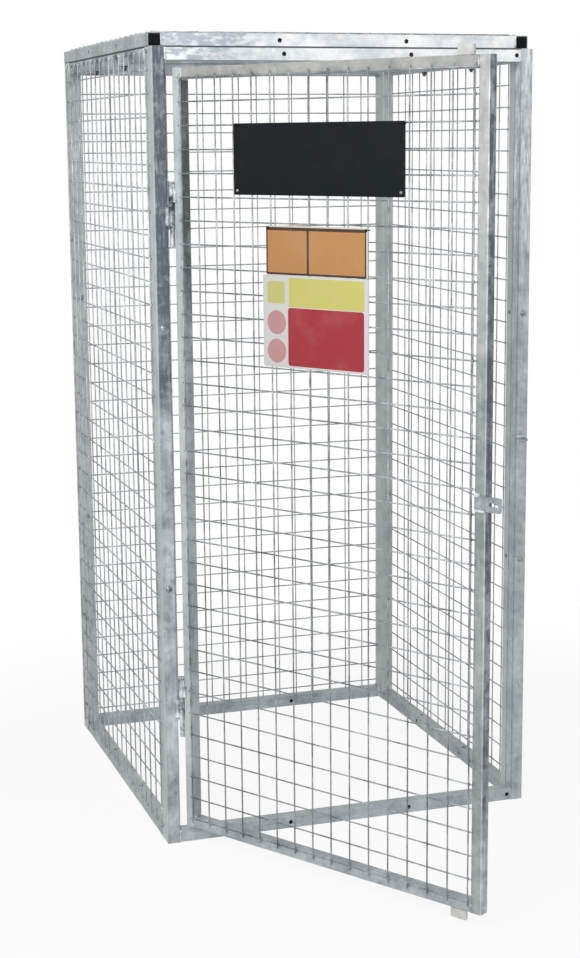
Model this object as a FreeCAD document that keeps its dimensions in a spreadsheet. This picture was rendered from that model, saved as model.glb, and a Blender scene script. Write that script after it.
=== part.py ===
import FreeCAD, Part
import os
import re
import Sketcher

# Gas cylinder cage: four framed panels of welded wire mesh and a framed mesh roof,
# bolted behind a front portal that carries a hinged mesh door.
#
# Frame: millimetres, +Z up, the door side faces -Y, +X to the right as seen from the front.
# The origin is the middle of the underside of the door sill.
# The door stands open at the angle "rest_angle"; at 0 degrees it is shut.

SIZES = [
    ("frame_width", 890, "width over the outer faces of the frame tubes"),
    ("frame_height", 1814, "height from the floor to the top of the roof tubes"),
    ("panel_depth", 865, "depth of the side panels, without the front portal and the back panel"),
    ("frame_tube", 30, "side of the square tube of the panels, portal and roof"),
    ("frame_wall", 2, "wall of that tube"),
    ("frame_corner", 3, "outer corner radius of that tube"),
    ("hole_radius", 5, "radius of the holes through the frame tubes"),
    ("end_hole_inset", 10, "from the end of a rail to its end hole"),
    ("stile_hole_spacing", 585, "between the two holes of a stile, about the panel's middle"),
    ("mesh_pitch", 50, "pitch of the welded mesh, both ways"),
    ("mesh_wire", 3, "thickness of a mesh wire"),
    ("mesh_margin", 5, "how far a wire runs on past the last crossing"),
    ("mesh_edge", 7, "least distance from a mesh to the outer edge of its frame"),
    ("roof_mesh_shift", 4.5, "how far the roof mesh lies to the left of the middle"),
    ("door_tube", 25, "side of the square tube of the door"),
    ("door_wall", 2, "wall of that tube"),
    ("door_corner", 2.5, "outer corner radius of that tube"),
    ("door_lap", 4.5, "most that the outer wires of the door mesh lap on the door frame"),
    ("hinge_side_lap", 0.5, "how far the first upright of the door mesh laps on the hinge stile"),
    ("door_mesh_margin", 8, "how far a wire of the door mesh runs on past the last crossing"),
    ("hinge_gap", 16.5, "gap between the hinge post and the shut door"),
    ("latch_gap", 9.5, "gap between the shut door and the latch post"),
    ("door_end_gap", 15, "gap above and below the door"),
    ("pin_inset", 8, "from the hinge post's inner face to the hinge axis"),
    ("pin_step", 5, "from the portal's front face forwards to the hinge axis"),
    ("door_step", 7, "how far the shut door's frame stands in front of the portal"),
    ("pin_radius", 5.5, "radius of a hinge pin"),
    ("pin_clearance", 0.25, "radial clearance between a hinge pin and the door's knuckle"),
    ("knuckle_radius", 7.5, "outer radius of a hinge knuckle"),
    ("knuckle_length", 50, "length of a hinge knuckle"),
    ("knuckle_seat", 0.3, "clearance between the two knuckles of a hinge"),
    ("pin_tail", 40, "how far a hinge pin shows below its post knuckle"),
    ("hinge_rise", 300, "from the door's base up to the lower hinge's seat"),
    ("hinge_drop", 289, "from the door's top down to the upper hinge's seat"),
    ("weld_width", 6, "thickness of the weld pad behind a knuckle"),
    ("rest_angle", 57.7, "opening angle of the door as modelled"),
    ("tab_width", 38, "width of a door stop tab"),
    ("tab_reach", 20, "how far a stop tab stands past the door frame"),
    ("tab_thickness", 5, "thickness of a stop tab"),
    ("tab_inset", 35, "from the door's free edge to a stop tab"),
    ("tab_corner", 3, "corner radius of a stop tab's free end"),
    ("hasp_thickness", 3, "thickness of the hasp plate"),
    ("hasp_rise", 846, "from the door's base up to the middle of the hasp and staple"),
    ("hasp_width", 48, "width of the hasp plate"),
    ("hasp_tall", 30, "height of the hasp plate"),
    ("hasp_lap", 10, "how far the hasp laps on the door stile"),
    ("hasp_corner", 4, "corner radius of the hasp's free end"),
    ("staple_width", 19, "width of the staple lug, and twice the radius of its round end"),
    ("staple_thickness", 5, "thickness of the staple lug"),
    ("staple_reach", 30, "how far the staple stands out of the post"),
    ("staple_inset", 11, "from the latch post's inner face to the middle of the staple"),
    ("staple_clearance", 1.5, "clearance of the staple in the slot of the hasp, all round"),
    ("lock_radius", 4.5, "radius of the padlock hole, on the centre of the staple's round end"),
    ("plug_lip", 2, "how far a tube plug's head stands out of the tube"),
    ("plug_corner", 3, "corner radius of a tube plug's head"),
    ("plug_depth", 12, "how far a tube plug reaches into the tube"),
    ("plug_clearance", 0.2, "clearance of a plug in its tube"),
    ("sign_thickness", 2, "thickness of a sign plate"),
    ("upper_sign_left", 173, "from the door's hinge edge to the upper sign"),
    ("upper_sign_drop", 119, "from the door's top down to the upper sign"),
    ("upper_sign_width", 438, "width of the upper sign"),
    ("upper_sign_tall", 146, "height of the upper sign"),
    ("middle_sign_left", 260, "from the door's hinge edge to the middle sign"),
    ("middle_sign_drop", 328, "from the door's top down to the middle sign"),
    ("middle_sign_width", 260, "width of the middle sign"),
    ("middle_sign_tall", 96, "height of the middle sign"),
    ("lower_sign_left", 249, "from the door's hinge edge to the lower sign"),
    ("lower_sign_drop", 430, "from the door's top down to the lower sign"),
    ("lower_sign_width", 272, "width of the lower sign"),
    ("lower_sign_tall", 184, "height of the lower sign"),
]

os.makedirs("parts", exist_ok=True)
doc = FreeCAD.newDocument("gas_cylinder_cage")
sheet = doc.addObject("Spreadsheet::Sheet", "Sizes")
for row, (alias, value, meaning) in enumerate(SIZES, start=1):
    sheet.set(f"A{row}", meaning)
    sheet.set(f"B{row}", str(value))
    sheet.setAlias(f"B{row}", alias)
doc.recompute()

ALIASES = {alias for alias, value, meaning in SIZES}
WORD = re.compile(r"[a-z][a-z_]*")

# Derived formulas, written with the aliases of the sheet.
HALF_TUBE = "frame_tube / 2"
DOORWAY = "(frame_width - 2 * frame_tube)"
PANEL_HEIGHT = "(frame_height - frame_tube)"
INNER_HEIGHT = "(frame_height - 3 * frame_tube)"
BACK = "(frame_tube * 3 / 2 + panel_depth)"
ROOF_DEPTH = "(panel_depth + frame_tube)"
DOOR_WIDTH = f"({DOORWAY} - hinge_gap - latch_gap)"
DOOR_HEIGHT = f"({INNER_HEIGHT} - 2 * door_end_gap)"
DOOR_BASE = "(frame_tube + door_end_gap)"
DOOR_TOP = f"({DOOR_BASE} + {DOOR_HEIGHT})"
HASP_LEVEL = f"({DOOR_BASE} + hasp_rise)"
HINGE_X = "(-frame_width / 2 + frame_tube + pin_inset)"
HINGE_Y = "(-frame_tube / 2 - pin_step)"
EDGE = "(hinge_gap - pin_inset)"
FACE = "(door_step - pin_step)"

UPRIGHT = FreeCAD.Rotation()
ALONG_X = FreeCAD.Rotation(FreeCAD.Vector(0, 1, 0), 90)
ALONG_Y = FreeCAD.Rotation(FreeCAD.Vector(1, 0, 0), -90)

THROUGH_X = "YZ_Plane"
THROUGH_Y = "XZ_Plane"
TOUCH = 0.001

pieces = []


def linked(formula):
    """Write a formula's aliases as references to the sheet."""
    return WORD.sub(lambda word: "Sizes." + word[0] if word[0] in ALIASES else word[0], formula)


def bind(thing, name, formula):
    """Tie a property or a named constraint to the sheet."""
    thing.setExpression(name, linked(formula))


def value_of(formula):
    """Work out a formula with the numbers of the sheet."""
    return float(sheet.evalExpression(linked(formula)))


def door_turn():
    """Placement of the open door: a turn about the hinge axis from the shut place."""
    hinge = FreeCAD.Vector(value_of(HINGE_X), value_of(HINGE_Y), 0)
    turn = FreeCAD.Rotation(FreeCAD.Vector(0, 0, 1), -value_of("rest_angle"))
    return FreeCAD.Placement(hinge, turn)


def place(thing, name, at, rotation=UPRIGHT, on_door=False):
    """Label a piece and set its place; a door piece is given from the hinge axis."""
    thing.Label = name
    spot = FreeCAD.Placement(FreeCAD.Vector(*[value_of(part) for part in at]), rotation)
    thing.Placement = door_turn().multiply(spot) if on_door else spot
    pieces.append(thing)


def origin_plane(body, role):
    """Return one of a body's own origin planes."""
    return next(item for item in body.Origin.OriginFeatures if item.Role == role)


def new_sketch(body, name, role="XY_Plane"):
    """Start a sketch on one of the body's own origin planes."""
    sketch = body.newObject("Sketcher::SketchObject", name)
    sketch.AttachmentSupport = [(origin_plane(body, role), "")]
    sketch.MapMode = "FlatFace"
    return sketch


def add_square(sketch, name, side):
    """Draw a square round the sketch's origin with its side tied to the sheet."""
    half = value_of(side) / 2
    corners = [(-half, -half), (half, -half), (half, half), (-half, half)]
    points = [FreeCAD.Vector(x, y, 0) for x, y in corners]
    first = sketch.GeometryCount
    for start, end in zip(points, points[1:] + points[:1]):
        sketch.addGeometry(Part.LineSegment(start, end))
    for step in range(4):
        after = first + (step + 1) % 4
        sketch.addConstraint(Sketcher.Constraint("Coincident", first + step, 2, after, 1))
    for step in (0, 2):
        sketch.addConstraint(Sketcher.Constraint("Horizontal", first + step))
        sketch.addConstraint(Sketcher.Constraint("Vertical", first + step + 1))
    sketch.addConstraint(Sketcher.Constraint("Symmetric", first, 1, first + 2, 1, -1, 1))
    for kind, line in (("DistanceX", first), ("DistanceY", first + 1)):
        dimension = sketch.addConstraint(Sketcher.Constraint(kind, line, 1, line, 2, 2 * half))
        sketch.renameConstraint(dimension, f"{name}_{kind[-1]}")
        bind(sketch, f"Constraints.{name}_{kind[-1]}", side)


def add_hole(sketch, number, along, radius):
    """Draw a hole on the tube's middle line, at a distance along it from the start."""
    centre = FreeCAD.Vector(0, value_of(along), 0)
    circle = sketch.addGeometry(Part.Circle(centre, FreeCAD.Vector(0, 0, 1), value_of(radius)))
    sketch.addConstraint(Sketcher.Constraint("PointOnObject", circle, 3, -2))
    size = sketch.addConstraint(Sketcher.Constraint("Radius", circle, value_of(radius)))
    sketch.renameConstraint(size, f"radius_{number}")
    bind(sketch, f"Constraints.radius_{number}", radius)
    spot = sketch.addConstraint(Sketcher.Constraint("DistanceY", -1, 1, circle, 3, centre.y))
    sketch.renameConstraint(spot, f"along_{number}")
    bind(sketch, f"Constraints.along_{number}", along)


def round_corners(body, run, side, radius):
    """Round the four long outer edges of a tube."""
    half = value_of(side) / 2
    corners = []
    for number, edge in enumerate(run.Shape.Edges, start=1):
        nearest = min(min(abs(point.X), abs(point.Y)) for point in edge.Vertexes)
        if edge.BoundBox.ZLength > TOUCH and nearest > half - TOUCH:
            corners.append(f"Edge{number}")
    rounding = body.newObject("PartDesign::Fillet", run.Name + "_corners")
    rounding.Base = (run, corners)
    bind(rounding, "Radius", radius)
    body.Tip = rounding


def drill(body, plane, holes, side):
    """Holes through both walls of a tube, square to one of its own planes."""
    sketch = new_sketch(body, f"{body.Name}_{plane[:2]}_holes", plane)
    for number, along in enumerate(holes):
        add_hole(sketch, number, along, "hole_radius")
    doc.recompute()
    cut = body.newObject("PartDesign::Pocket", f"{body.Name}_{plane[:2]}_drilled")
    cut.Profile = sketch
    cut.Midplane = True
    cut.Type = "Length"
    bind(cut, "Length", f"2 * {side}")
    body.Tip = cut


def square_tube(name, length, at, rotation=UPRIGHT, drills=(), tube="frame", on_door=False):
    """A length of square tube along its own Z; drills are pairs of a plane and its holes."""
    side = f"{tube}_tube"
    body = doc.addObject("PartDesign::Body", name)
    section = new_sketch(body, name + "_section")
    add_square(section, "outside", side)
    add_square(section, "inside", f"{side} - 2 * {tube}_wall")
    run = body.newObject("PartDesign::Pad", name + "_run")
    run.Profile = section
    bind(run, "Length", length)
    body.Tip = run
    doc.recompute()
    round_corners(body, run, side, f"{tube}_corner")
    doc.recompute()
    for plane, holes in drills:
        drill(body, plane, holes, side)
        doc.recompute()
    place(body, name, at, rotation, on_door)
    return body


def box_between(low, high):
    """A block between two corners given as formulas."""
    start = [value_of(part) for part in low]
    size = [value_of(part) - first for part, first in zip(high, start)]
    return Part.makeBox(*size, FreeCAD.Vector(*start))


def block(name, low, high, on_door=False):
    """A plain plate or block between two corners, tied to the sheet."""
    solid = doc.addObject("Part::Box", name)
    for prop, start, end in zip(("Length", "Width", "Height"), low, high):
        bind(solid, prop, f"({end}) - ({start})")
    place(solid, name, low, UPRIGHT, on_door)
    return solid


def shaped(name, shape, at=("0", "0", "0"), rotation=UPRIGHT, on_door=False):
    """A piece whose solids come from Part's own functions."""
    feature = doc.addObject("Part::Feature", name)
    feature.Shape = shape
    place(feature, name, at, rotation, on_door)
    return feature


# Welded wire mesh: the uprights and the cross wires lie in two layers, one on the
# other, and are fused where they cross.

def wire_count(span):
    """How many wires fit on a frame of this span."""
    return int((value_of(span) - 2 * value_of("mesh_edge")) // value_of("mesh_pitch")) + 1


def wire_places(count, middle=0.0):
    """Centres of the wires, spread evenly about the middle."""
    pitch = value_of("mesh_pitch")
    return [middle + pitch * (number - (count - 1) / 2) for number in range(count)]


def welded_mesh(uprights, crosses, run_on="mesh_margin", low=None, high=None):
    """Fused lattice in the XZ plane: uprights in front (-Y), cross wires behind (+Y)."""
    wire = value_of("mesh_wire")
    margin = value_of(run_on)
    low = crosses[0] - margin if low is None else low
    high = crosses[-1] + margin if high is None else high
    left = uprights[0] - margin
    right = uprights[-1] + margin
    corner = FreeCAD.Vector
    bars = [Part.makeBox(wire, wire, high - low, corner(x - wire / 2, -2 * wire, low)) for x in uprights]
    bars += [Part.makeBox(right - left, wire, wire, corner(left, -wire, z - wire / 2)) for z in crosses]
    return bars[0].multiFuse(bars[1:])


def mesh_halves(names, uprights, crosses, at, rotation=UPRIGHT, run_on="mesh_margin", on_door=False):
    """One mesh in two nodes, upper and lower, that meet halfway between two cross wires."""
    half = len(crosses) // 2
    joint = (crosses[half - 1] + crosses[half]) / 2
    lower = welded_mesh(uprights, crosses[:half], run_on, high=joint)
    upper = welded_mesh(uprights, crosses[half:], run_on, low=joint)
    shaped(names[0], lower, at, rotation, on_door)
    shaped(names[1], upper, at, rotation, on_door)


# Front portal: two posts with the head and the sill between them.

third_across = f"{DOORWAY} / 2 - frame_width / 6"
third_back = f"{DOORWAY} / 2 + frame_width / 6"
third_holes = [third_across, third_back]
rail_holes = third_holes + [f"{DOORWAY} - end_hole_inset"]
post_x = f"frame_width / 2 - {HALF_TUBE}"
start_x = f"-{DOORWAY} / 2"
rail_z = f"{PANEL_HEIGHT} - {HALF_TUBE}"
square_tube("left_post", PANEL_HEIGHT, (f"-({post_x})", "0", "0"))
square_tube("right_post", PANEL_HEIGHT, (post_x, "0", "0"))
square_tube("sill", DOORWAY, (start_x, "0", HALF_TUBE), ALONG_X, [(THROUGH_Y, rail_holes)])
square_tube("head", DOORWAY, (start_x, "0", rail_z), ALONG_X, [(THROUGH_Y, rail_holes)])

# Side panels: stiles front and back, rails between them, mesh on the outer face.

side_run = "(panel_depth - 2 * frame_tube)"
side_holes = [f"{side_run} / 2 - panel_depth / 6", f"{side_run} / 2 + panel_depth / 6"]
side_start = "frame_tube * 3 / 2"
stile_holes = [f"({PANEL_HEIGHT} - stile_hole_spacing) / 2", f"({PANEL_HEIGHT} + stile_hole_spacing) / 2"]
back_y = f"{BACK} - {HALF_TUBE}"
for side, sign in (("left", "-"), ("right", "")):
    x = f"{sign}({post_x})"
    square_tube(f"{side}_front_stile", PANEL_HEIGHT, (x, "frame_tube", "0"),
                drills=[(THROUGH_X, stile_holes)])
    square_tube(f"{side}_back_stile", PANEL_HEIGHT, (x, "panel_depth", "0"),
                drills=[(THROUGH_Y, stile_holes)])
    square_tube(f"{side}_bottom_rail", side_run, (x, side_start, HALF_TUBE), ALONG_Y,
                [(THROUGH_Y, side_holes), (THROUGH_X, side_holes)])
    square_tube(f"{side}_top_rail", side_run, (x, side_start, rail_z), ALONG_Y,
                [(THROUGH_X, side_holes)])

# Back panel, behind the side panels and as wide as the front portal.

square_tube("back_left_stile", PANEL_HEIGHT, (f"-({post_x})", back_y, "0"), drills=[(THROUGH_Y, stile_holes)])
square_tube("back_right_stile", PANEL_HEIGHT, (post_x, back_y, "0"), drills=[(THROUGH_Y, stile_holes)])
square_tube("back_bottom_rail", DOORWAY, (start_x, back_y, HALF_TUBE), ALONG_X,
            [(THROUGH_Y, third_holes)])
square_tube("back_top_rail", DOORWAY, (start_x, back_y, rail_z), ALONG_X, [(THROUGH_Y, third_holes)])

# Roof: two tubes from front to back with plugged ends, two cross tubes between them.

roof_z = f"frame_height - {HALF_TUBE}"
roof_side_holes = [f"{ROOF_DEPTH} / 3", f"{ROOF_DEPTH} * 2 / 3"]
for side, sign in (("left", "-"), ("right", "")):
    square_tube(f"roof_{side}_tube", ROOF_DEPTH, (f"{sign}({post_x})", HALF_TUBE, roof_z), ALONG_Y,
                [(THROUGH_X, roof_side_holes)])
square_tube("roof_front_tube", DOORWAY, (start_x, "frame_tube", roof_z), ALONG_X, [(THROUGH_Y, third_holes)])
square_tube("roof_back_tube", DOORWAY, (start_x, back_y, roof_z), ALONG_X, [(THROUGH_Y, third_holes)])


def rounded_block(low, size, radius, along):
    """A block whose edges along one axis are rounded."""
    solid = Part.makeBox(*size, FreeCAD.Vector(*low))
    edges = [edge for edge in solid.Edges if abs(edge.tangentAt(0).dot(along)) > 1 - TOUCH]
    return solid.makeFillet(radius, edges)


AXIS_Y = FreeCAD.Vector(0, 1, 0)


def tube_plug(x, z, end, outward):
    """A plug with its stem in the open end of a roof tube and its head outside."""
    stem_side = value_of("frame_tube - 2 * frame_wall - 2 * plug_clearance")
    head_side = value_of("frame_tube - 2 * frame_wall")
    depth = value_of("plug_depth")
    lip = value_of("plug_lip")
    stem = Part.makeBox(stem_side, depth, stem_side,
                        FreeCAD.Vector(x - stem_side / 2, min(end, end - outward * depth), z - stem_side / 2))
    corner = (x - head_side / 2, min(end, end + outward * lip), z - head_side / 2)
    head = rounded_block(corner, (head_side, lip, head_side), value_of("plug_corner"), AXIS_Y)
    return stem.fuse(head).removeSplitter()


plugs = []
for sign in (-1, 1):
    for end, outward in ((HALF_TUBE, -1), (BACK, 1)):
        plugs.append(tube_plug(sign * value_of(post_x), value_of(roof_z), value_of(end), outward))
shaped("roof_tube_plugs", Part.makeCompound(plugs))

# Meshes of the cage, on the outer faces.

side_uprights = wire_places(wire_count("panel_depth"))
back_uprights = wire_places(wire_count("frame_width"))
panel_crosses = wire_places(wire_count(PANEL_HEIGHT), value_of(f"{PANEL_HEIGHT} / 2"))
side_middle = f"{HALF_TUBE} + panel_depth / 2"
FACE_LEFT = FreeCAD.Rotation(FreeCAD.Vector(0, 0, 1), -90)
FACE_RIGHT = FreeCAD.Rotation(FreeCAD.Vector(0, 0, 1), 90)
FACE_BACK = FreeCAD.Rotation(FreeCAD.Vector(0, 0, 1), 180)
FACE_UP = FreeCAD.Rotation(FreeCAD.Vector(1, 0, 0), -90)
mesh_halves(("left_mesh_lower", "left_mesh_upper"), side_uprights, panel_crosses,
            ("-frame_width / 2", side_middle, "0"), FACE_LEFT)
mesh_halves(("right_mesh_lower", "right_mesh_upper"), side_uprights, panel_crosses,
            ("frame_width / 2", side_middle, "0"), FACE_RIGHT)
mesh_halves(("back_mesh_lower", "back_mesh_upper"), back_uprights, panel_crosses,
            ("0", BACK, "0"), FACE_BACK)
roof_middle = f"{HALF_TUBE} + {ROOF_DEPTH} / 2"
roof_mesh = welded_mesh(back_uprights, wire_places(wire_count(ROOF_DEPTH)))
shaped("roof_mesh", roof_mesh, ("-roof_mesh_shift", roof_middle, "frame_height"), FACE_UP)

# Door: given from the hinge axis, X along the shut door and Y to the inside.

stile_x = f"{EDGE} + door_tube / 2"
free_x = f"{EDGE} + {DOOR_WIDTH} - door_tube / 2"
door_y = f"door_tube / 2 - {FACE}"
rail_start = f"{EDGE} + door_tube"
rail_length = f"({DOOR_WIDTH} - 2 * door_tube)"
square_tube("door_hinge_stile", DOOR_HEIGHT, (stile_x, door_y, DOOR_BASE), tube="door", on_door=True)
square_tube("door_free_stile", DOOR_HEIGHT, (free_x, door_y, DOOR_BASE), tube="door", on_door=True)
square_tube("door_bottom_rail", rail_length, (rail_start, door_y, f"{DOOR_BASE} + door_tube / 2"),
            ALONG_X, tube="door", on_door=True)
square_tube("door_top_rail", rail_length, (rail_start, door_y, f"{DOOR_TOP} - door_tube / 2"),
            ALONG_X, tube="door", on_door=True)

door_middle = value_of(f"{DOOR_BASE} + {DOOR_HEIGHT} / 2")
lap = "2 * door_lap"
upright_count = int(value_of(f"{rail_length} + {lap}") // value_of("mesh_pitch")) + 1
cross_count = int(value_of(f"{DOOR_HEIGHT} - 2 * door_tube + {lap}") // value_of("mesh_pitch")) + 1
first_upright = value_of(f"{rail_start} - hinge_side_lap")
door_uprights = [first_upright + value_of("mesh_pitch") * number for number in range(upright_count)]
mesh_halves(("door_mesh_lower", "door_mesh_upper"), door_uprights, wire_places(cross_count, door_middle),
            ("0", f"-({FACE})", "0"), run_on="door_mesh_margin", on_door=True)

# Stop tabs at the free end of the door, flush with its face, one above and one below.

AXIS_Z = FreeCAD.Vector(0, 0, 1)
door_face = f"-({FACE})"


def stop_tab(base, top, free_end):
    """A flat bar on the edge of the door frame, rounded at its free end."""
    right = f"{EDGE} + {DOOR_WIDTH} - tab_inset"
    bar = box_between((f"{right} - tab_width", door_face, base), (right, f"{door_face} + tab_thickness", top))
    height = value_of(free_end)
    edges = [edge for edge in bar.Edges if abs(edge.tangentAt(0).y) > 1 - TOUCH
             and abs(edge.CenterOfMass.z - height) < TOUCH]
    return bar.makeFillet(value_of("tab_corner"), edges)


tabs = [
    stop_tab(f"{DOOR_BASE} - tab_reach", DOOR_BASE, f"{DOOR_BASE} - tab_reach"),
    stop_tab(DOOR_TOP, f"{DOOR_TOP} + tab_reach", f"{DOOR_TOP} + tab_reach"),
]
shaped("door_stop_tabs", Part.makeCompound(tabs), on_door=True)

# Hasp on the door, slotted for the staple on the latch post.

door_free = f"{EDGE} + {DOOR_WIDTH}"
hasp_front = f"{door_face} - hasp_thickness"
staple_x = "frame_width / 2 - frame_tube + staple_inset"
slot_middle = f"{staple_x} - {HINGE_X}"
slot_half = "(staple_width / 2 + staple_clearance)"
slot_rise = "(staple_thickness / 2 + staple_clearance)"
hasp_end = value_of(f"{door_free} - hasp_lap + hasp_width")
hasp_plate = box_between((f"{door_free} - hasp_lap", hasp_front, f"{HASP_LEVEL} - hasp_tall / 2"),
                         (f"{door_free} - hasp_lap + hasp_width", door_face, f"{HASP_LEVEL} + hasp_tall / 2"))
free_edges = [edge for edge in hasp_plate.Edges if abs(edge.tangentAt(0).y) > 1 - TOUCH
              and abs(edge.CenterOfMass.x - hasp_end) < TOUCH]
hasp_plate = hasp_plate.makeFillet(value_of("hasp_corner"), free_edges)
hasp_slot = box_between((f"{slot_middle} - {slot_half}", f"{hasp_front} - 1", f"{HASP_LEVEL} - {slot_rise}"),
                        (f"{slot_middle} + {slot_half}", f"{door_face} + 1", f"{HASP_LEVEL} + {slot_rise}"))
shaped("hasp", hasp_plate.cut(hasp_slot), on_door=True)

round_end = f"-{HALF_TUBE} - staple_reach + staple_width / 2"
staple_base = f"{HASP_LEVEL} - staple_thickness / 2"
lug = box_between((f"{staple_x} - staple_width / 2", round_end, staple_base),
                  (f"{staple_x} + staple_width / 2", f"-{HALF_TUBE}", f"{staple_base} + staple_thickness"))


def upright_disc(radius):
    """A disc as thick as the staple, on the centre of its round end."""
    centre = FreeCAD.Vector(value_of(staple_x), value_of(round_end), value_of(staple_base))
    return Part.makeCylinder(value_of(radius), value_of("staple_thickness"), centre, AXIS_Z)


shaped("staple", lug.fuse(upright_disc("staple_width / 2")).removeSplitter().cut(upright_disc("lock_radius")))

# Hinges: a pintle on the post, which is a knuckle with its pin, and a knuckle on the door above it.


def barrel(radius, base, length):
    """A round bar or bore on the hinge axis."""
    return Part.makeCylinder(radius, length, FreeCAD.Vector(0, 0, base))


def weld_pad(start_x, start_y, length_x, base, length):
    """The weld between a knuckle and the tube that carries it."""
    corner = FreeCAD.Vector(start_x, start_y, base)
    return Part.makeBox(length_x, value_of("weld_width"), length, corner)


def pintle(seat):
    """Post knuckle under the seat, its weld to the post's inner face, and the pin."""
    long = value_of("knuckle_length")
    base = seat - long
    knuckle = barrel(value_of("knuckle_radius"), base, long)
    pad = weld_pad(-value_of("pin_inset"), value_of("pin_step"), value_of("pin_inset"), base, long)
    tail = value_of("pin_tail")
    pin = barrel(value_of("pin_radius"), base - tail, 2 * long + tail + value_of("knuckle_seat"))
    return knuckle.fuse([pad, pin]).removeSplitter()


def door_knuckle(seat):
    """Knuckle above the seat, with its weld to the edge of the door stile."""
    long = value_of("knuckle_length")
    base = seat + value_of("knuckle_seat")
    knuckle = barrel(value_of("knuckle_radius"), base, long)
    pad = weld_pad(0, -value_of("weld_width / 2"), value_of(EDGE), base, long)
    bore = barrel(value_of("pin_radius + pin_clearance"), base, long)
    return knuckle.fuse(pad).cut(bore)


HINGE_SEATS = {"lower": f"{DOOR_BASE} + hinge_rise", "upper": f"{DOOR_TOP} - hinge_drop"}
for level, height in HINGE_SEATS.items():
    seat = value_of(height)
    shaped(f"{level}_pintle", pintle(seat), (HINGE_X, HINGE_Y, "0"))
    shaped(f"{level}_door_knuckle", door_knuckle(seat), on_door=True)

# Sign plates, on the front of the door mesh.

sign_back = f"-({FACE}) - 2 * mesh_wire"
for level in ("upper", "middle", "lower"):
    left = f"{EDGE} + {level}_sign_left"
    top = f"{DOOR_TOP} - {level}_sign_drop"
    block(f"{level}_sign", (left, f"{sign_back} - sign_thickness", f"{top} - {level}_sign_tall"),
          (f"{left} + {level}_sign_width", sign_back, top), on_door=True)

doc.recompute()

for item in doc.Objects:
    if "Invalid" in item.State or "Error" in item.State:
        raise RuntimeError(f"{item.Label} is not built: {item.State}")
for piece in pieces:
    if piece.Shape.isNull() or not piece.Shape.isValid() or not piece.Shape.Solids:
        raise RuntimeError(f"{piece.Label} has no valid solid")
for piece in pieces:
    piece.Shape.exportStep(f"parts/{piece.Label}.step")
print(len(pieces), "pieces written")
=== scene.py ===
"""A galvanised gas cylinder cage with its door open, dressed around the fixed frame of the part.

Sizes are in metres, in the frame of the part: the origin is under the middle of the sill, the
front looks to -Y, and Z is up. The door is modelled shut, measured from its hinge axis, and
then turned open with the matrix that the hinge gives.
"""

import logging
import math
from collections.abc import Callable
from dataclasses import dataclass
from enum import Enum
from typing import Any

import bpy
from mathutils import Matrix, Vector

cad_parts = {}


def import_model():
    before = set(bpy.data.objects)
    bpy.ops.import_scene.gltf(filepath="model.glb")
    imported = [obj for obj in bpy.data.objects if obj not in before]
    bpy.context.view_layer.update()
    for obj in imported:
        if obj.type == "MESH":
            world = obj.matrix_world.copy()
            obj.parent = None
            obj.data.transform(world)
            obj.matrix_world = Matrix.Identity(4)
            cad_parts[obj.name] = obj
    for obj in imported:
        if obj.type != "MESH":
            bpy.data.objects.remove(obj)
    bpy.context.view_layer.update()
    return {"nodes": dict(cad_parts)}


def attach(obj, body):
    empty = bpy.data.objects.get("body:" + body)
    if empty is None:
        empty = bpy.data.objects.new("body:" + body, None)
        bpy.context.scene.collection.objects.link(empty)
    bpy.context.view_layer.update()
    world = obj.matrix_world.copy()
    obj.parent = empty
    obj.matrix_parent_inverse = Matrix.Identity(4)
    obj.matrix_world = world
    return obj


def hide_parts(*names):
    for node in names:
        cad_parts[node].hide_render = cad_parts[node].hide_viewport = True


log = logging.getLogger("cage")

Numbers = tuple[float, ...]
Display = tuple[int, int, int]
Test = Callable[[Vector, Vector], bool]

TUBE = 0.030
HALF_TUBE = TUBE / 2
DOOR_TUBE = 0.025
POST_X = 0.430
POST_INNER = 0.415
HALF_WIDTH = 0.445
STILE_FRONT = 0.045
BACK = 0.910
SIDE_BACK = 0.880
PANEL_TOP = 1.784
ROOF_TOP = 1.814
PITCH = 0.050
DOOR_FRONT = -0.002
DOOR_BASE = 0.045
DOOR_TOP = 1.739
DOOR_EDGES = (0.0085, 0.8125)
HINGE = (-0.407, -0.020, 0.0)
OPEN_ANGLE = math.radians(57.7)
OPEN_DOOR = Matrix.Translation(HINGE) @ Matrix.Rotation(-OPEN_ANGLE, 4, "Z")
STANDING = Matrix.Identity(4)
ALONG = 0.99  # the least share of a way along an axis that counts as along it
ACROSS = 0.01  # the greatest share that counts as square to it
FITTINGS = "galvanised_fittings"


def paint(*display: float) -> Numbers:
    """Gives the linear colour of a paint chip.

    Args:
        display: Its red, green and blue display values, from 0 to 255.

    Returns:
        The linear red, green, blue and an alpha of one.
    """
    shares = [level / 255 for level in display]
    return (*(share / 12.92 if share <= 0.04045 else ((share + 0.055) / 1.055) ** 2.4
              for share in shares), 1.0)


def every(_middle: Vector, _way: Vector) -> bool:
    """Picks everything."""
    return True


# ---------------------------------------------------------------- shader maths


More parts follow.
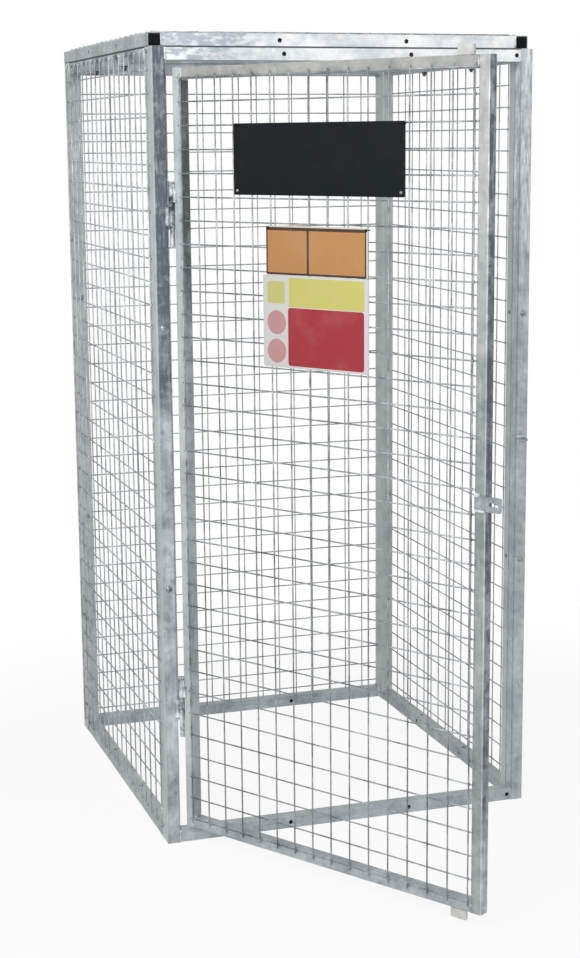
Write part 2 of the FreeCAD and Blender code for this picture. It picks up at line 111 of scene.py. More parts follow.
class Value:
    """A shader socket that takes part in Python sums."""

    def __init__(self, nodes: "Nodes", socket: bpy.types.NodeSocket) -> None:
        """Wraps one output socket of a tree's node."""
        self.nodes = nodes
        self.socket = socket

    def _sum(self, operation: str, *terms: "Value | float") -> "Value":
        """Adds one Math node for an operation on these terms."""
        return self.nodes.node("ShaderNodeMath", {"operation": operation}, dict(enumerate(terms)))

    def __add__(self, other: "Value | float") -> "Value":
        """Adds another value."""
        return self._sum("ADD", self, other)

    def __sub__(self, other: "Value | float") -> "Value":
        """Takes another value away."""
        return self._sum("SUBTRACT", self, other)

    def __rsub__(self, other: float) -> "Value":
        """Takes this value away from a number."""
        return self._sum("SUBTRACT", other, self)

    def __mul__(self, other: "Value | float") -> "Value":
        """Multiplies by another value."""
        return self._sum("MULTIPLY", self, other)

    __radd__ = __add__
    __rmul__ = __mul__

    def size(self) -> "Value":
        """Gives the value without its sign."""
        return self._sum("ABSOLUTE", self)

    def root(self) -> "Value":
        """Gives the square root."""
        return self._sum("SQRT", self)

    def least(self, other: "Value | float") -> "Value":
        """Gives the smaller of this and another value."""
        return self._sum("MINIMUM", self, other)

    def most(self, other: "Value | float") -> "Value":
        """Gives the larger of this and another value."""
        return self._sum("MAXIMUM", self, other)

    def step(self, low: float, high: float) -> "Value":
        """Rises smoothly from nought to one, or falls where low is the larger.

        Args:
            low: The value at which the result is nought.
            high: The value at which it is one.

        Returns:
            The result.
        """
        return self.nodes.node("ShaderNodeMapRange",
                               {"interpolation_type": "SMOOTHSTEP", "clamp": True},
                               {"Value": self, "From Min": low, "From Max": high})


class Nodes:
    """The nodes of a material or of the world."""

    def __init__(self, holder: bpy.types.Material | bpy.types.World) -> None:
        """Starts with an empty tree.

        Args:
            holder: The material or the world.
        """
        holder.use_nodes = True
        self.tree = holder.node_tree
        self.tree.nodes.clear()

    def node(self, kind: str, settings: dict[str, Any] | None = None,
             sockets: dict[str | int, Any] | None = None, output: str | int = 0) -> Value:
        """Adds a node of any kind.

        Args:
            kind: The node's type.
            settings: Its settings, set before its sockets.
            sockets: Numbers, colours or values for its sockets, by name or place.
            output: The output that the result wraps.

        Returns:
            The chosen output as a value.
        """
        made = self.tree.nodes.new(kind)
        for name, setting in (settings or {}).items():
            setattr(made, name, setting)
        for name, given in (sockets or {}).items():
            self.feed(made.inputs[name], given)
        return Value(self, made.outputs[output])

    def feed(self, socket: bpy.types.NodeSocket, given: Any) -> None:
        """Links a value to a socket, or sets the socket's own number or colour.

        Args:
            socket: The socket.
            given: The value, number or colour.
        """
        if isinstance(given, Value):
            self.tree.links.new(given.socket, socket)
        else:
            socket.default_value = given

    def seen(self) -> Value:
        """Tells what is seen from what is lit.

        Returns:
            One for the eye's rays and those in gloss and glass, and nought for all others.
        """
        rays = self.node("ShaderNodeLightPath").socket.node.outputs
        eye, gloss, glass = (Value(self, rays[f"Is {kind} Ray"])
                             for kind in ("Camera", "Glossy", "Transmission"))
        return eye.most(gloss).most(glass)


class Shader(Nodes):
    """One material's nodes around a Principled surface."""

    def __init__(self, name: str) -> None:
        """Starts a material with nothing but its surface and output.

        Args:
            name: The material's name.
        """
        self.material = bpy.data.materials.new(name)
        super().__init__(self.material)
        self.output = self.tree.nodes.new("ShaderNodeOutputMaterial")
        self.surface = self.tree.nodes.new("ShaderNodeBsdfPrincipled")
        self.feed(self.output.inputs["Surface"], Value(self, self.surface.outputs[0]))

    def finish(self, **sockets: Any) -> bpy.types.Material:
        """Feeds the surface's sockets, named with underscores for spaces.

        Args:
            sockets: Numbers, colours or values, such as Base_Color or Roughness.

        Returns:
            The finished material.
        """
        for name, given in sockets.items():
            self.feed(self.surface.inputs[name.replace("_", " ")], given)
        return self.material

    def place(self) -> Value:
        """Gives the point of the surface in the object's frame."""
        return self.node("ShaderNodeTexCoord", output="Object")

    def stretched(self, place: Value, scale: Numbers, turn: Numbers = (0, 0, 0)) -> Value:
        """Turns a place and scales it along each axis."""
        return self.node("ShaderNodeMapping", {},
                         {"Vector": place, "Rotation": turn, "Scale": scale})

    def axes(self, place: Value) -> tuple[Value, ...]:
        """Splits a place into its three distances."""
        split = self.node("ShaderNodeSeparateXYZ", {}, {0: place}).socket.node
        return tuple(Value(self, output) for output in split.outputs)

    def noise(self, place: Value, scale: float, detail: float = 3.0, rough: float = 0.5,
              output: str = "Fac") -> Value:
        """Adds a noise of a given scale per metre."""
        return self.node("ShaderNodeTexNoise", {}, {"Vector": place, "Scale": scale,
                                                    "Detail": detail, "Roughness": rough}, output)

    def cells(self, place: Value, scale: float, feature: str, output: str) -> Value:
        """Adds a pattern of cells of a given scale per metre."""
        return self.node("ShaderNodeTexVoronoi", {"feature": feature},
                         {"Vector": place, "Scale": scale, "Randomness": 1.0}, output)

    def blend(self, share: Value | float, first: Any, second: Any, how: str = "MIX") -> Value:
        """Mixes two colours by a share, from the first to the second."""
        return self.node("ShaderNodeMix", {"data_type": "RGBA", "blend_type": how},
                         {0: share, 6: first, 7: second}, 2)

    def bump(self, height: Value, distance: float, strength: float) -> Value:
        """Turns a height into a bent normal."""
        return self.node("ShaderNodeBump", {}, {"Height": height, "Distance": distance,
                                                "Strength": strength})


# -------------------------------------------------------------------- finishes


class Run(Enum):
    """The way that a tube or wire runs, which its drawn grain follows."""

    ACROSS = (12.0, 160.0, 160.0)
    DEEP = (160.0, 12.0, 160.0)
    UPRIGHT = (160.0, 160.0, 12.0)
    NONE = (60.0, 60.0, 60.0)


@dataclass(frozen=True)
class Galvanised:
    """Hot-dip zinc on steel: spangle, cloudy mottling, drawn grain and white bloom.

    Attributes:
        name: Name of the material.
        dark: Display colour of the dull zinc.
        light: Display colour of the bright zinc.
        run: The way that the grain runs.
        lean: How far the mixture leans to the bright zinc, from -1 to 1.
        contrast: Strength of the mottling.
        dull_band: Height, half height and strength of a duller stretch, or None.
        soiled_side: X before which smudges are heavier, or None.
        streaks: Heights between which slanting runs set in, and their strength, or None.
        rough: Mean roughness.
        metal: How metallic the skin is.
    """

    name: str
    dark: Display
    light: Display
    run: Run = Run.UPRIGHT
    lean: float = 0.0
    contrast: float = 1.0
    dull_band: tuple[float, float, float] | None = None
    soiled_side: float | None = None
    streaks: tuple[float, float, float] | None = None
    rough: float = 0.46
    metal: float = 0.25

    def material(self) -> bpy.types.Material:
        """Builds the zinc skin.

        Returns:
            The material.
        """
        shader = Shader(self.name)
        place = shader.place()
        across, _, height = shader.axes(place)
        warp = shader.noise(place, 55.0, 2.0, output="Color")
        bent = shader.node("ShaderNodeVectorMath", {"operation": "MULTIPLY_ADD"},
                           {0: warp, 1: (0.012, 0.012, 0.012), 2: place})
        flake_tone = shader.axes(shader.cells(bent, 85.0, "F1", "Color"))[0]
        edge = shader.cells(bent, 85.0, "DISTANCE_TO_EDGE", "Distance")
        cloud = shader.noise(place, 9.0, 5.0, 0.62)
        blotch = shader.noise(place, 34.0, 4.0, 0.6)
        grain = shader.noise(shader.stretched(place, self.run.value), 1.0, 3.0, 0.55)
        tone = (0.5 + 0.5 * self.lean + (cloud - 0.5) * (1.7 * self.contrast)
                + (blotch - 0.5) * (1.1 * self.contrast) + (grain - 0.5) * (0.8 * self.contrast)
                + (flake_tone - 0.5) * (0.26 * self.contrast))
        if self.dull_band is not None:
            middle, half, strength = self.dull_band
            tone = tone - (height - middle).size().step(half, half * 0.5) * strength
        if self.soiled_side is not None:
            soil = shader.noise(shader.stretched(place, (24.0, 70.0, 70.0)), 1.0, 4.0, 0.7)
            near = across.step(self.soiled_side, self.soiled_side - 0.16)
            tone = tone - near * soil.step(0.40, 0.62) * 1.1
        if self.streaks is not None:
            low, high, strength = self.streaks
            slant = shader.stretched(place, (210.0, 90.0, 26.0), (0, math.radians(38), 0))
            lines = shader.noise(slant, 1.0, 3.0, 0.6)
            tone = tone + (lines - 0.5) * height.step(low, high) * strength
        colour = shader.blend(tone.most(0.0).least(1.0), paint(*self.dark), paint(*self.light))
        tint = shader.noise(place, 14.0, 2.0).step(0.42, 0.68) * 0.28
        colour = shader.blend(tint, colour, paint(184, 196, 200), "MULTIPLY")
        bloom = shader.noise(shader.stretched(place, (1.0, 1.0, 0.55)), 46.0, 4.0, 0.7)
        bloom = bloom.step(0.66, 0.76) * 0.45
        colour = shader.blend(bloom, colour, paint(226, 231, 234))
        speck = shader.noise(place, 210.0, 2.0).step(0.71, 0.78) * 0.35
        colour = shader.blend(speck, colour, paint(92, 96, 99))
        roughness = (self.rough + (blotch - 0.5) * 0.35 + (flake_tone - 0.5) * 0.10
                     + bloom * 0.3).most(0.2).least(0.9)
        relief = blotch * 0.6 + edge.step(0.0, 0.06) * 0.12 + grain * 0.25 + bloom * 0.4
        return shader.finish(Base_Color=colour, Roughness=roughness, Metallic=self.metal,
                             Normal=shader.bump(relief, 0.0006, 0.5))


@dataclass(frozen=True)
class BlackPlastic:
    """Moulded black plastic with a fine grain and pale dust.

    Attributes:
        name: Name of the material.
    """

    name: str = "black_moulding"

    def material(self) -> bpy.types.Material:
        """Builds the plastic.

        Returns:
            The material.
        """
        shader = Shader(self.name)
        place = shader.place()
        grain = shader.noise(place, 900.0, 2.0)
        dust = shader.noise(place, 90.0, 4.0, 0.65).step(0.5, 0.75)
        colour = shader.blend(dust * 0.12, paint(9, 10, 12), paint(74, 78, 80))
        return shader.finish(Base_Color=colour, Roughness=dust * 0.2 + 0.55,
                             Specular_IOR_Level=0.12, Normal=shader.bump(grain, 0.0003, 0.4))


@dataclass(frozen=True)
class ZincBolt:
    """Bright zinc plate on a fastener, dulled in blotches.

    Attributes:
        name: Name of the material.
        colour: Display colour of the bright zinc.
        shade: Display colour of the blotches.
    """

    name: str
    colour: Display = (188, 192, 194)
    shade: Display = (104, 108, 112)

    def material(self) -> bpy.types.Material:
        """Builds the plating.

        Returns:
            The material.
        """
        shader = Shader(self.name)
        wear = shader.noise(shader.place(), 260.0, 3.0, 0.6)
        colour = shader.blend(wear.step(0.38, 0.66), paint(*self.shade), paint(*self.colour))
        return shader.finish(Base_Color=colour, Roughness=wear * 0.3 + 0.22, Metallic=0.45,
                             Normal=shader.bump(wear, 0.0002, 0.5))


@dataclass(frozen=True)
class Field:
    """A plain printed field on a plate, in millimetres from the plate's lower left corner.

    Attributes:
        low: Its lower left corner.
        high: Its upper right corner.
        colour: Its display colour.
        radius: Radius of its corners.
    """

    low: tuple[float, float]
    high: tuple[float, float]
    colour: Display
    radius: float


@dataclass(frozen=True)
class PrintedPlate:
    """Sheet plate with plain printed fields, a little faded and scuffed.

    Attributes:
        name: Name of the material.
        ground: Display colour of the plate itself.
        fields: The printed fields, the lowest first.
        rough: Mean roughness.
        wear: How much it is faded and scuffed, from 0 to 1.
        gloss: Level of the plain reflection.
    """

    name: str
    ground: Display
    fields: tuple[Field, ...] = ()
    rough: float = 0.42
    wear: float = 0.3
    gloss: float = 0.4

    def material(self) -> bpy.types.Material:
        """Builds the print.

        Returns:
            The material.
        """
        shader = Shader(self.name)
        across, up, _ = shader.axes(shader.node("ShaderNodeUVMap", {"uv_map": "plate"}))
        place = shader.place()
        ragged = (shader.noise(place, 700.0, 2.0) - 0.5) * 0.5
        colour: Any = paint(*self.ground)
        for printed in self.fields:
            out_x, out_y = (
                ((way * 1000 - (high + low) / 2).size()
                 - ((high - low) / 2 - printed.radius)).most(0.0)
                for way, low, high in zip((across, up), printed.low, printed.high))
            edge = (out_x * out_x + out_y * out_y).root() - printed.radius + ragged * 0.4
            colour = shader.blend(edge.step(0.25, -0.25), colour, paint(*printed.colour))
        fade = shader.noise(place, 16.0, 4.0, 0.6)
        scuff = shader.noise(shader.stretched(place, (60.0, 60.0, 420.0)), 1.0, 3.0, 0.6)
        grime = shader.noise(place, 120.0, 3.0, 0.6)
        for share, worn in ((fade.step(0.45, 0.75) * (0.16 * self.wear), (214, 208, 198)),
                            (scuff.step(0.68, 0.76) * (0.3 * self.wear), (196, 192, 186)),
                            (grime.step(0.66, 0.78) * (0.3 * self.wear), (96, 88, 78))):
            colour = shader.blend(share, colour, paint(*worn))
        return shader.finish(Base_Color=colour, Specular_IOR_Level=self.gloss,
                             Roughness=fade * 0.25 + (self.rough - 0.1) + scuff * 0.1,
                             Normal=shader.bump(scuff + fade * 0.5, 0.0002, 0.5))


class Finishes:
    """Every finish of the cage, built once."""

    def __init__(self) -> None:
        """Builds the materials."""
        def zinc(name: str, dark: Display, light: Display, run: Run = Run.UPRIGHT,
                 **more: Any) -> bpy.types.Material:
            """Builds one kind of zinc."""
            return Galvanised("zinc_" + name, dark, light, run, **more).material()

        # Partly painted light: the roof's front tube and the head are painted near white, lighter
        # than the other tubes, over their own mottled zinc and smudges.
        self.bright = zinc("bright", (192, 198, 208), (251, 252, 253), Run.ACROSS, lean=0.65,
                           contrast=0.9, soiled_side=-0.12, rough=0.40)
        self.head = zinc("head", (184, 195, 204), (250, 252, 253), Run.ACROSS, lean=0.5,
                         soiled_side=-0.2, rough=0.40)
        self.dull = zinc("dull", (92, 101, 110), (204, 210, 214), lean=0.3, contrast=0.9,
                         dull_band=(1.46, 0.62, 0.65), streaks=(1.2, 1.5, 1.5))
        # zinc_pale is the stiles' own zinc, and also painted light on faces picked by the way
        # they look.
        self.pale = zinc("pale", (162, 171, 172), (204, 209, 210), lean=0.1, contrast=0.8)
        self.post = zinc("post", (152, 163, 168), (240, 245, 248), contrast=0.7,
                         dull_band=(0.4, 1.2, 0.25), streaks=(1.1, 1.5, 2.4))
        self.across = zinc("across", (142, 150, 155), (196, 203, 208), Run.ACROSS)
        self.deep = zinc("deep", (132, 140, 144), (184, 191, 194), Run.DEEP, contrast=1.2)
        self.warm = zinc("warm", (148, 149, 146), (187, 187, 184), Run.ACROSS, contrast=0.9)
        self.buff = zinc("buff", (134, 142, 143), (198, 199, 196), lean=0.6, contrast=0.8,
                         dull_band=(0.45, 1.1, 0.55))
        self.tab = zinc("tab", (182, 182, 177), (216, 216, 212), Run.NONE)
        self.wire = zinc("wire", (118, 124, 128), (204, 210, 214), Run.NONE, contrast=1.1,
                         rough=0.38, metal=0.35)
        self.door_wire = zinc("door_wire", (88, 94, 98), (186, 192, 196), Run.NONE, contrast=1.1,
                              rough=0.38, metal=0.35)
        self.weld = zinc("weld", (120, 128, 132), (226, 232, 236), Run.NONE, lean=0.1,
                         contrast=1.6, rough=0.38, metal=0.35)
        self.bead = zinc("bead", (178, 185, 189), (240, 243, 246), Run.NONE, contrast=1.4,
                         rough=0.34, metal=0.3)
        self.fitting = zinc("fitting", (112, 120, 124), (184, 192, 196), Run.NONE, contrast=1.2,
                            rough=0.36, metal=0.45)
        self.hinge = zinc("hinge", (62, 68, 72), (218, 224, 228), contrast=1.9, rough=0.30,
                          metal=0.6)
        # Painted shade: the side of the hinge stile that looks across the door's opening is
        # painted dark, darker still towards the top.
        self.reveal = zinc("reveal", (76, 83, 87), (188, 195, 199), lean=0.7, contrast=0.8,
                           dull_band=(1.85, 0.80, 0.9), metal=0.1)
        # Painted shade over real runs: the side of the free stile that looks across the opening
        # is painted dark, with slanting runs, darkest over its middle height.
        self.streaked_shade = zinc("streaked_shade", (84, 92, 102), (214, 221, 228), lean=0.3, contrast=1.1,
                             dull_band=(1.0, 1.0, 0.45), streaks=(1.3, 1.5, 2.4), metal=0.15)
        # Painted shade: zinc_seam is painted nearly black for the shadow in the crease where the
        # roof tubes sit on the head and the top rails.
        self.seam = zinc("seam", (46, 50, 55), (92, 98, 103), Run.ACROSS, metal=0.1)
        self.patchy = zinc("patchy", (92, 100, 104), (200, 206, 210), Run.NONE, contrast=1.7)
        self.shade = zinc("shade", (124, 132, 138), (170, 177, 182), Run.ACROSS, metal=0.1)
        self.plastic = BlackPlastic().material()
        self.bolt = ZincBolt("bolt_zinc").material()
        self.dark_bolt = ZincBolt("bolt_dull", (118, 122, 126), (52, 56, 60)).material()
        self.dark_plate = PrintedPlate("plate_dark", (20, 25, 28), rough=0.5, wear=0.03,
                                       gloss=0.1).material()
        orange, rose = (178, 129, 80), (184, 136, 138)
        self.orange_plate = PrintedPlate("plate_orange", (206, 196, 180), (
            Field((0.0, 0.0), (259.0, 97.0), (58, 38, 27), 3.0),
            Field((4.0, 4.5), (107.5, 90.5), orange, 1.5),
            Field((113.0, 4.5), (255.5, 90.5), orange, 1.5))).material()
        self.white_plate = PrintedPlate("plate_white", (200, 199, 198), (
            Field((68.7, 126.0), (263.5, 186.0), (190, 186, 103), 2.0),
            Field((66.5, 4.5), (263.0, 124.5), (153, 40, 50), 6.0),
            Field((12.0, 132.0), (58.0, 178.0), (188, 184, 116), 5.0),
            Field((11.0, 68.0), (61.0, 118.0), rose, 24.9),
            Field((11.0, 9.0), (61.0, 59.0), rose, 24.9))).material()
        self.plate_rear = PrintedPlate("plate_rear", (190, 190, 188), wear=0.5).material()


# ------------------------------------------------------------------ bench work


class Pick(Enum):
    """What a selection in edit mode is made of."""

    POINTS = "VERT"
    EDGES = "EDGE"
    FACES = "FACE"


class Bench:
    """The hand tools that the pieces are shaped with."""

    @staticmethod
    def clear() -> None:
        """Leaves edit mode and deselects everything."""
        if bpy.context.mode != "OBJECT":
            bpy.ops.object.mode_set(mode="OBJECT")
        bpy.ops.object.select_all(action="DESELECT")

    @staticmethod
    def hold(piece: bpy.types.Object) -> None:
        """Makes one piece the only one selected, and active.

        Args:
            piece: The piece.
        """
        Bench.clear()
        piece.select_set(True)
        bpy.context.view_layer.objects.active = piece

    @staticmethod
    def start(add: Callable[..., Any], **sizes: Any) -> bpy.types.Object:
        """Adds a primitive with nothing else selected, with its place and size in its mesh.

        Args:
            add: The operator that adds it.
            sizes: Its sizes and place.

        Returns:
            The new object.
        """
        Bench.clear()
        add(**sizes)
        piece = bpy.context.object
        Bench.hold(piece)
        bpy.ops.object.transform_apply(location=True, rotation=True, scale=True)
        return piece

    @staticmethod
    def block(middle: Numbers, size: Numbers) -> bpy.types.Object:
        """Starts a block."""
        return Bench.start(bpy.ops.mesh.primitive_cube_add, size=1.0, location=middle, scale=size)

    @staticmethod
    def lathe(radius: float, length: float, sides: int) -> bpy.types.Object:
        """Starts a round bar that stands on the origin."""
        return Bench.start(bpy.ops.mesh.primitive_cylinder_add, vertices=sides, radius=radius,
                           depth=length, location=(0, 0, length / 2))

    @staticmethod
    def pick(piece: bpy.types.Object, what: Pick, test: Test) -> None:
        """Opens a piece in edit mode with some of its points, edges or faces selected.

        Args:
            piece: The piece.
            what: What is selected.
            test: Says whether an item is, from its middle and its normal, or for an edge
                its direction.
        """
        Bench.hold(piece)
        bpy.ops.object.mode_set(mode="EDIT")
        bpy.ops.mesh.select_mode(type=what.value)
        bpy.ops.mesh.select_all(action="DESELECT")
        bpy.ops.object.mode_set(mode="OBJECT")
        mesh = piece.data
        if what is Pick.FACES:
            for face in mesh.polygons:
                face.select = test(face.center, face.normal)
        elif what is Pick.POINTS:
            for point in mesh.vertices:
                point.select = test(point.co, point.normal)
        else:
            for edge in mesh.edges:
                start, end = (mesh.vertices[i].co for i in edge.vertices)
                edge.select = test((start + end) / 2, (end - start).normalized())
        bpy.ops.object.mode_set(mode="EDIT")

    @staticmethod
    def bevel(piece: bpy.types.Object, offset: float, segments: int, test: Test) -> None:
        """Bevels some of a piece's edges.

        Args:
            piece: The piece.
            offset: How far the bevel reaches.
            segments: How many steps it has.
            test: Says whether an edge is bevelled.
        """
        Bench.pick(piece, Pick.EDGES, test)
        bpy.ops.mesh.bevel(offset=offset, segments=segments, affect="EDGES")
        Bench.clear()

    @staticmethod
    def resize(piece: bpy.types.Object, size: Numbers, test: Test = every) -> bpy.types.Object:
        """Resizes some of a piece's points about the origin.

        Args:
            piece: The piece.
            size: The new size along each axis.
            test: Says whether a point is moved.

        Returns:
            The piece.
        """
        Bench.pick(piece, Pick.POINTS, test)
        bpy.ops.transform.resize(value=size, center_override=(0, 0, 0))
        Bench.clear()
        return piece

    @staticmethod
    def soften_ends(piece: bpy.types.Object, length: float, offset: float) -> None:
        """Bevels the rims at both ends of a bar that stands on the origin."""
        Bench.bevel(piece, offset, 1, lambda middle, way: abs(way.z) < ACROSS and
                    min(middle.z, length - middle.z) < offset / 100)

    @staticmethod
    def rings(piece: bpy.types.Object, cuts: int) -> None:
        """Cuts a standing bar into rings, by subdividing its long edges.

        Args:
            piece: The bar.
            cuts: How many cuts it gets.
        """
        Bench.pick(piece, Pick.EDGES, lambda middle, way: abs(way.z) > ALONG)
        bpy.ops.mesh.subdivide(number_cuts=cuts)
        Bench.clear()

    @staticmethod
    def inset(piece: bpy.types.Object, test: Test, *steps: tuple[float, float]) -> None:
        """Insets some of a piece's faces, step by step, and stays in edit mode.

        Args:
            piece: The piece.
            test: Says whether a face is inset.
            steps: Thickness and depth of each step.
        """
        Bench.pick(piece, Pick.FACES, test)
        for thickness, depth in steps:
            bpy.ops.mesh.inset(thickness=thickness, depth=depth)

    @staticmethod
    def dome(radius: float, height: float, fineness: tuple[int, int],
             up: Numbers) -> bpy.types.Object:
        """Shapes half a ball, flattened, with its flat side on the origin.

        Args:
            radius: Its radius.
            height: Its height.
            fineness: Segments and rings of the ball.
            up: The axis that it rises along.

        Returns:
            The dome.
        """
        segments, rings = fineness
        ball = Bench.start(bpy.ops.mesh.primitive_uv_sphere_add, segments=segments,
                           ring_count=rings, radius=radius)
        Bench.pick(ball, Pick.FACES, every)
        bpy.ops.mesh.bisect(plane_co=(0, 0, 0), plane_no=up, clear_inner=True, use_fill=True)
        return Bench.resize(ball, tuple(height / radius if part else 1.0 for part in up))

    @staticmethod
    def modify(piece: bpy.types.Object, kind: str, **settings: Any) -> bpy.types.Object:
        """Adds a modifier and applies it.

        Args:
            piece: The piece.
            kind: The modifier's type.
            settings: Its settings.

        Returns:
            The piece.
        """
        Bench.hold(piece)
        modifier = piece.modifiers.new(kind.title(), kind)
        for name, setting in settings.items():
            setattr(modifier, name, setting)
        bpy.ops.object.modifier_apply(modifier=modifier.name)
        return piece

    @staticmethod
    def row(piece: bpy.types.Object, count: int, step: Numbers) -> bpy.types.Object:
        """Repeats a piece's mesh in a straight row."""
        return Bench.modify(piece, "ARRAY", count=count, use_relative_offset=False,
                            use_constant_offset=True, constant_offset_displace=step)

    @staticmethod
    def moved(piece: bpy.types.Object, place: Matrix) -> bpy.types.Object:
        """Moves a piece's mesh to another place."""
        piece.data.transform(place)
        return piece

    @staticmethod
    def join(parts: list[bpy.types.Object], name: str) -> bpy.types.Object:
        """Joins several meshes into one piece.

        Args:
            parts: The meshes.
            name: Name of the piece.

        Returns:
            The piece.
        """
        Bench.hold(parts[0])
        for part in parts[1:]:
            part.select_set(True)
        bpy.ops.object.join()
        parts[0].name = parts[0].data.name = name
        return parts[0]

    @staticmethod
    def copies(pattern: bpy.types.Object, places: list[Matrix], name: str) -> bpy.types.Object:
        """Copies a pattern, each copy with its own mesh, and joins the copies.

        Args:
            pattern: The pattern, which is used up.
            places: Where the copies go.
            name: Name of the piece.

        Returns:
            The piece.
        """
        twins = []
        for place in places:
            twin = pattern.copy()
            twin.data = pattern.data.copy()
            bpy.context.scene.collection.objects.link(twin)
            twins.append(Bench.moved(twin, place))
        bpy.data.objects.remove(pattern)
        return Bench.join(twins, name)

    @staticmethod
    def smooth(piece: bpy.types.Object, angle: float) -> bpy.types.Object:
        """Shades a piece smooth up to an angle between its faces.

        Args:
            piece: The piece.
            angle: The angle in degrees.

        Returns:
            The piece.
        """
        Bench.hold(piece)
        bpy.ops.object.shade_smooth_by_angle(angle=math.radians(angle))
        return piece


def dress(piece: bpy.types.Object, finish: bpy.types.Material) -> None:
    """Gives a piece one finish all over."""
    piece.data.materials.clear()
    piece.data.materials.append(finish)


def fit(piece: bpy.types.Object, finish: bpy.types.Material, body: str, slot: str,
        *stands_for: str) -> bpy.types.Object:
    """Dresses a finished piece and hangs it on the frame of the part.

    Args:
        piece: The piece.
        finish: Its finish.
        body: The body that it moves with.
        slot: The record's material slot; not used.
        stands_for: The nodes that it replaces.

    Returns:
        The piece.
    """
    dress(piece, finish)
    if stands_for:
        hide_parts(*stands_for)
    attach(piece, body)
    log.info("%s: %d faces on %s", piece.name, len(piece.data.polygons), body)
    return piece


@dataclass
class SubAssembly:
    """A group of pieces that share their sizes.

    Attributes:
        finishes: The finishes of the cage.
    """

    finishes: Finishes


# -------------------------------------------------------------- welded meshes


@dataclass
class WireMesh:
    """A welded mesh of round wire, modelled as if on the front of a frame.

    X runs across, Z up, and -Y outwards from the tubes. The uprights lie over the cross wires,
    unless the layers are swapped.

    Attributes:
        name: Name of the piece.
        body: Body that it moves with.
        stands_for: The nodes that it replaces.
        place: Where the panel goes.
        first_upright: X of the first upright.
        uprights: How many uprights there are.
        first_cross: Height of the first cross wire.
        crosses: How many cross wires there are.
        rise: Distance between two cross wires.
        run: Heights between which the uprights run, or None for a tip past the last cross wires.
        tip: How far a wire runs on past the last crossing.
        radius: Radius of the wire.
        layers: Distances of the cross wires' and the uprights' middles from the tubes.
        nugget: Half sizes of the upset metal at a crossing.
        end_blob: Half sizes of a blob that holds an upright's end on its tube.
        side_blob: Half sizes of a blob that holds a cross wire's end on its tube.
        blob_out: How far the middles of the two kinds of blobs stand out from the tube.
    """

    name: str
    body: str
    stands_for: tuple[str, ...]
    place: Matrix
    first_upright: float
    uprights: int
    first_cross: float
    crosses: int
    rise: float = PITCH
    run: tuple[float, float] | None = None
    tip: float = 0.005
    radius: float = 0.00158
    layers: tuple[float, float] = (0.0015, 0.0043)
    nugget: Numbers = (0.0026, 0.0021, 0.0026)
    end_blob: Numbers = (0.0036, 0.0026, 0.0042)
    side_blob: Numbers = (0.0042, 0.0022, 0.0032)
    blob_out: tuple[float, float] = (0.0022, 0.0016)

    @property
    def width(self) -> float:
        """Distance between the first and the last upright."""
        return (self.uprights - 1) * PITCH

    @property
    def ends(self) -> tuple[float, float]:
        """Heights at which the uprights start and end."""
        last_cross = self.first_cross + (self.crosses - 1) * self.rise
        return self.run or (self.first_cross - self.tip, last_cross + self.tip)

    def over(self, piece: bpy.types.Object) -> bpy.types.Object:
        """Repeats a piece on every upright."""
        return Bench.row(piece, self.uprights, (PITCH, 0, 0))

    def up(self, piece: bpy.types.Object) -> bpy.types.Object:
        """Repeats a piece on every cross wire."""
        return Bench.row(piece, self.crosses, (0, 0, self.rise))

    def wire(self, length: float, place: Matrix) -> bpy.types.Object:
        """Draws one wire with softened ends.

        Args:
            length: Length of the wire.
            place: Where it starts.

        Returns:
            The wire.
        """
        bar = Bench.lathe(self.radius, length, 8)
        Bench.soften_ends(bar, length, self.radius * 0.4)
        return Bench.moved(bar, place)

    def drop(self, size: Numbers, x: float, out: float, z: float) -> bpy.types.Object:
        """Shapes one flattened drop of metal from a small ball."""
        ball = Bench.start(bpy.ops.mesh.primitive_ico_sphere_add, subdivisions=1, radius=1.0)
        return Bench.moved(Bench.resize(ball, size), Matrix.Translation((x, -out, z)))

    def drops(self) -> list[bpy.types.Object]:
        """Shapes the metal at the crossings and the blobs that hold the mesh on its tubes.

        Returns:
            The drops at the crossings and four rows of blobs.
        """
        x, z = self.first_upright, self.first_cross
        low, high = self.ends
        rows = [self.up(self.over(self.drop(self.nugget, x, sum(self.layers) / 2, z)))]
        for height in (low + self.tip, high - self.tip):
            rows.append(self.over(self.drop(self.end_blob, x, self.blob_out[0], height)))
        for across in (0.0, self.width):
            rows.append(self.up(self.drop(self.side_blob, x + across, self.blob_out[1], z)))
        return rows

    def build(self, finish: bpy.types.Material) -> None:
        """Builds the mesh and hangs it on the frame.

        Args:
            finish: Its finish.
        """
        inner, outer = self.layers
        low, high = self.ends
        standing = Matrix.Translation((self.first_upright, -outer, low))
        lying = (Matrix.Translation((self.first_upright - self.tip, -inner, self.first_cross))
                 @ Matrix.Rotation(math.radians(90), 4, "Y"))
        parts = [self.over(self.wire(high - low, standing)),
                 self.up(self.wire(self.width + 2 * self.tip, lying)), *self.drops()]
        piece = Bench.moved(Bench.join(parts, self.name), self.place)
        fit(Bench.smooth(piece, 60.0), finish, self.body, "galvanised_wire", *self.stands_for)


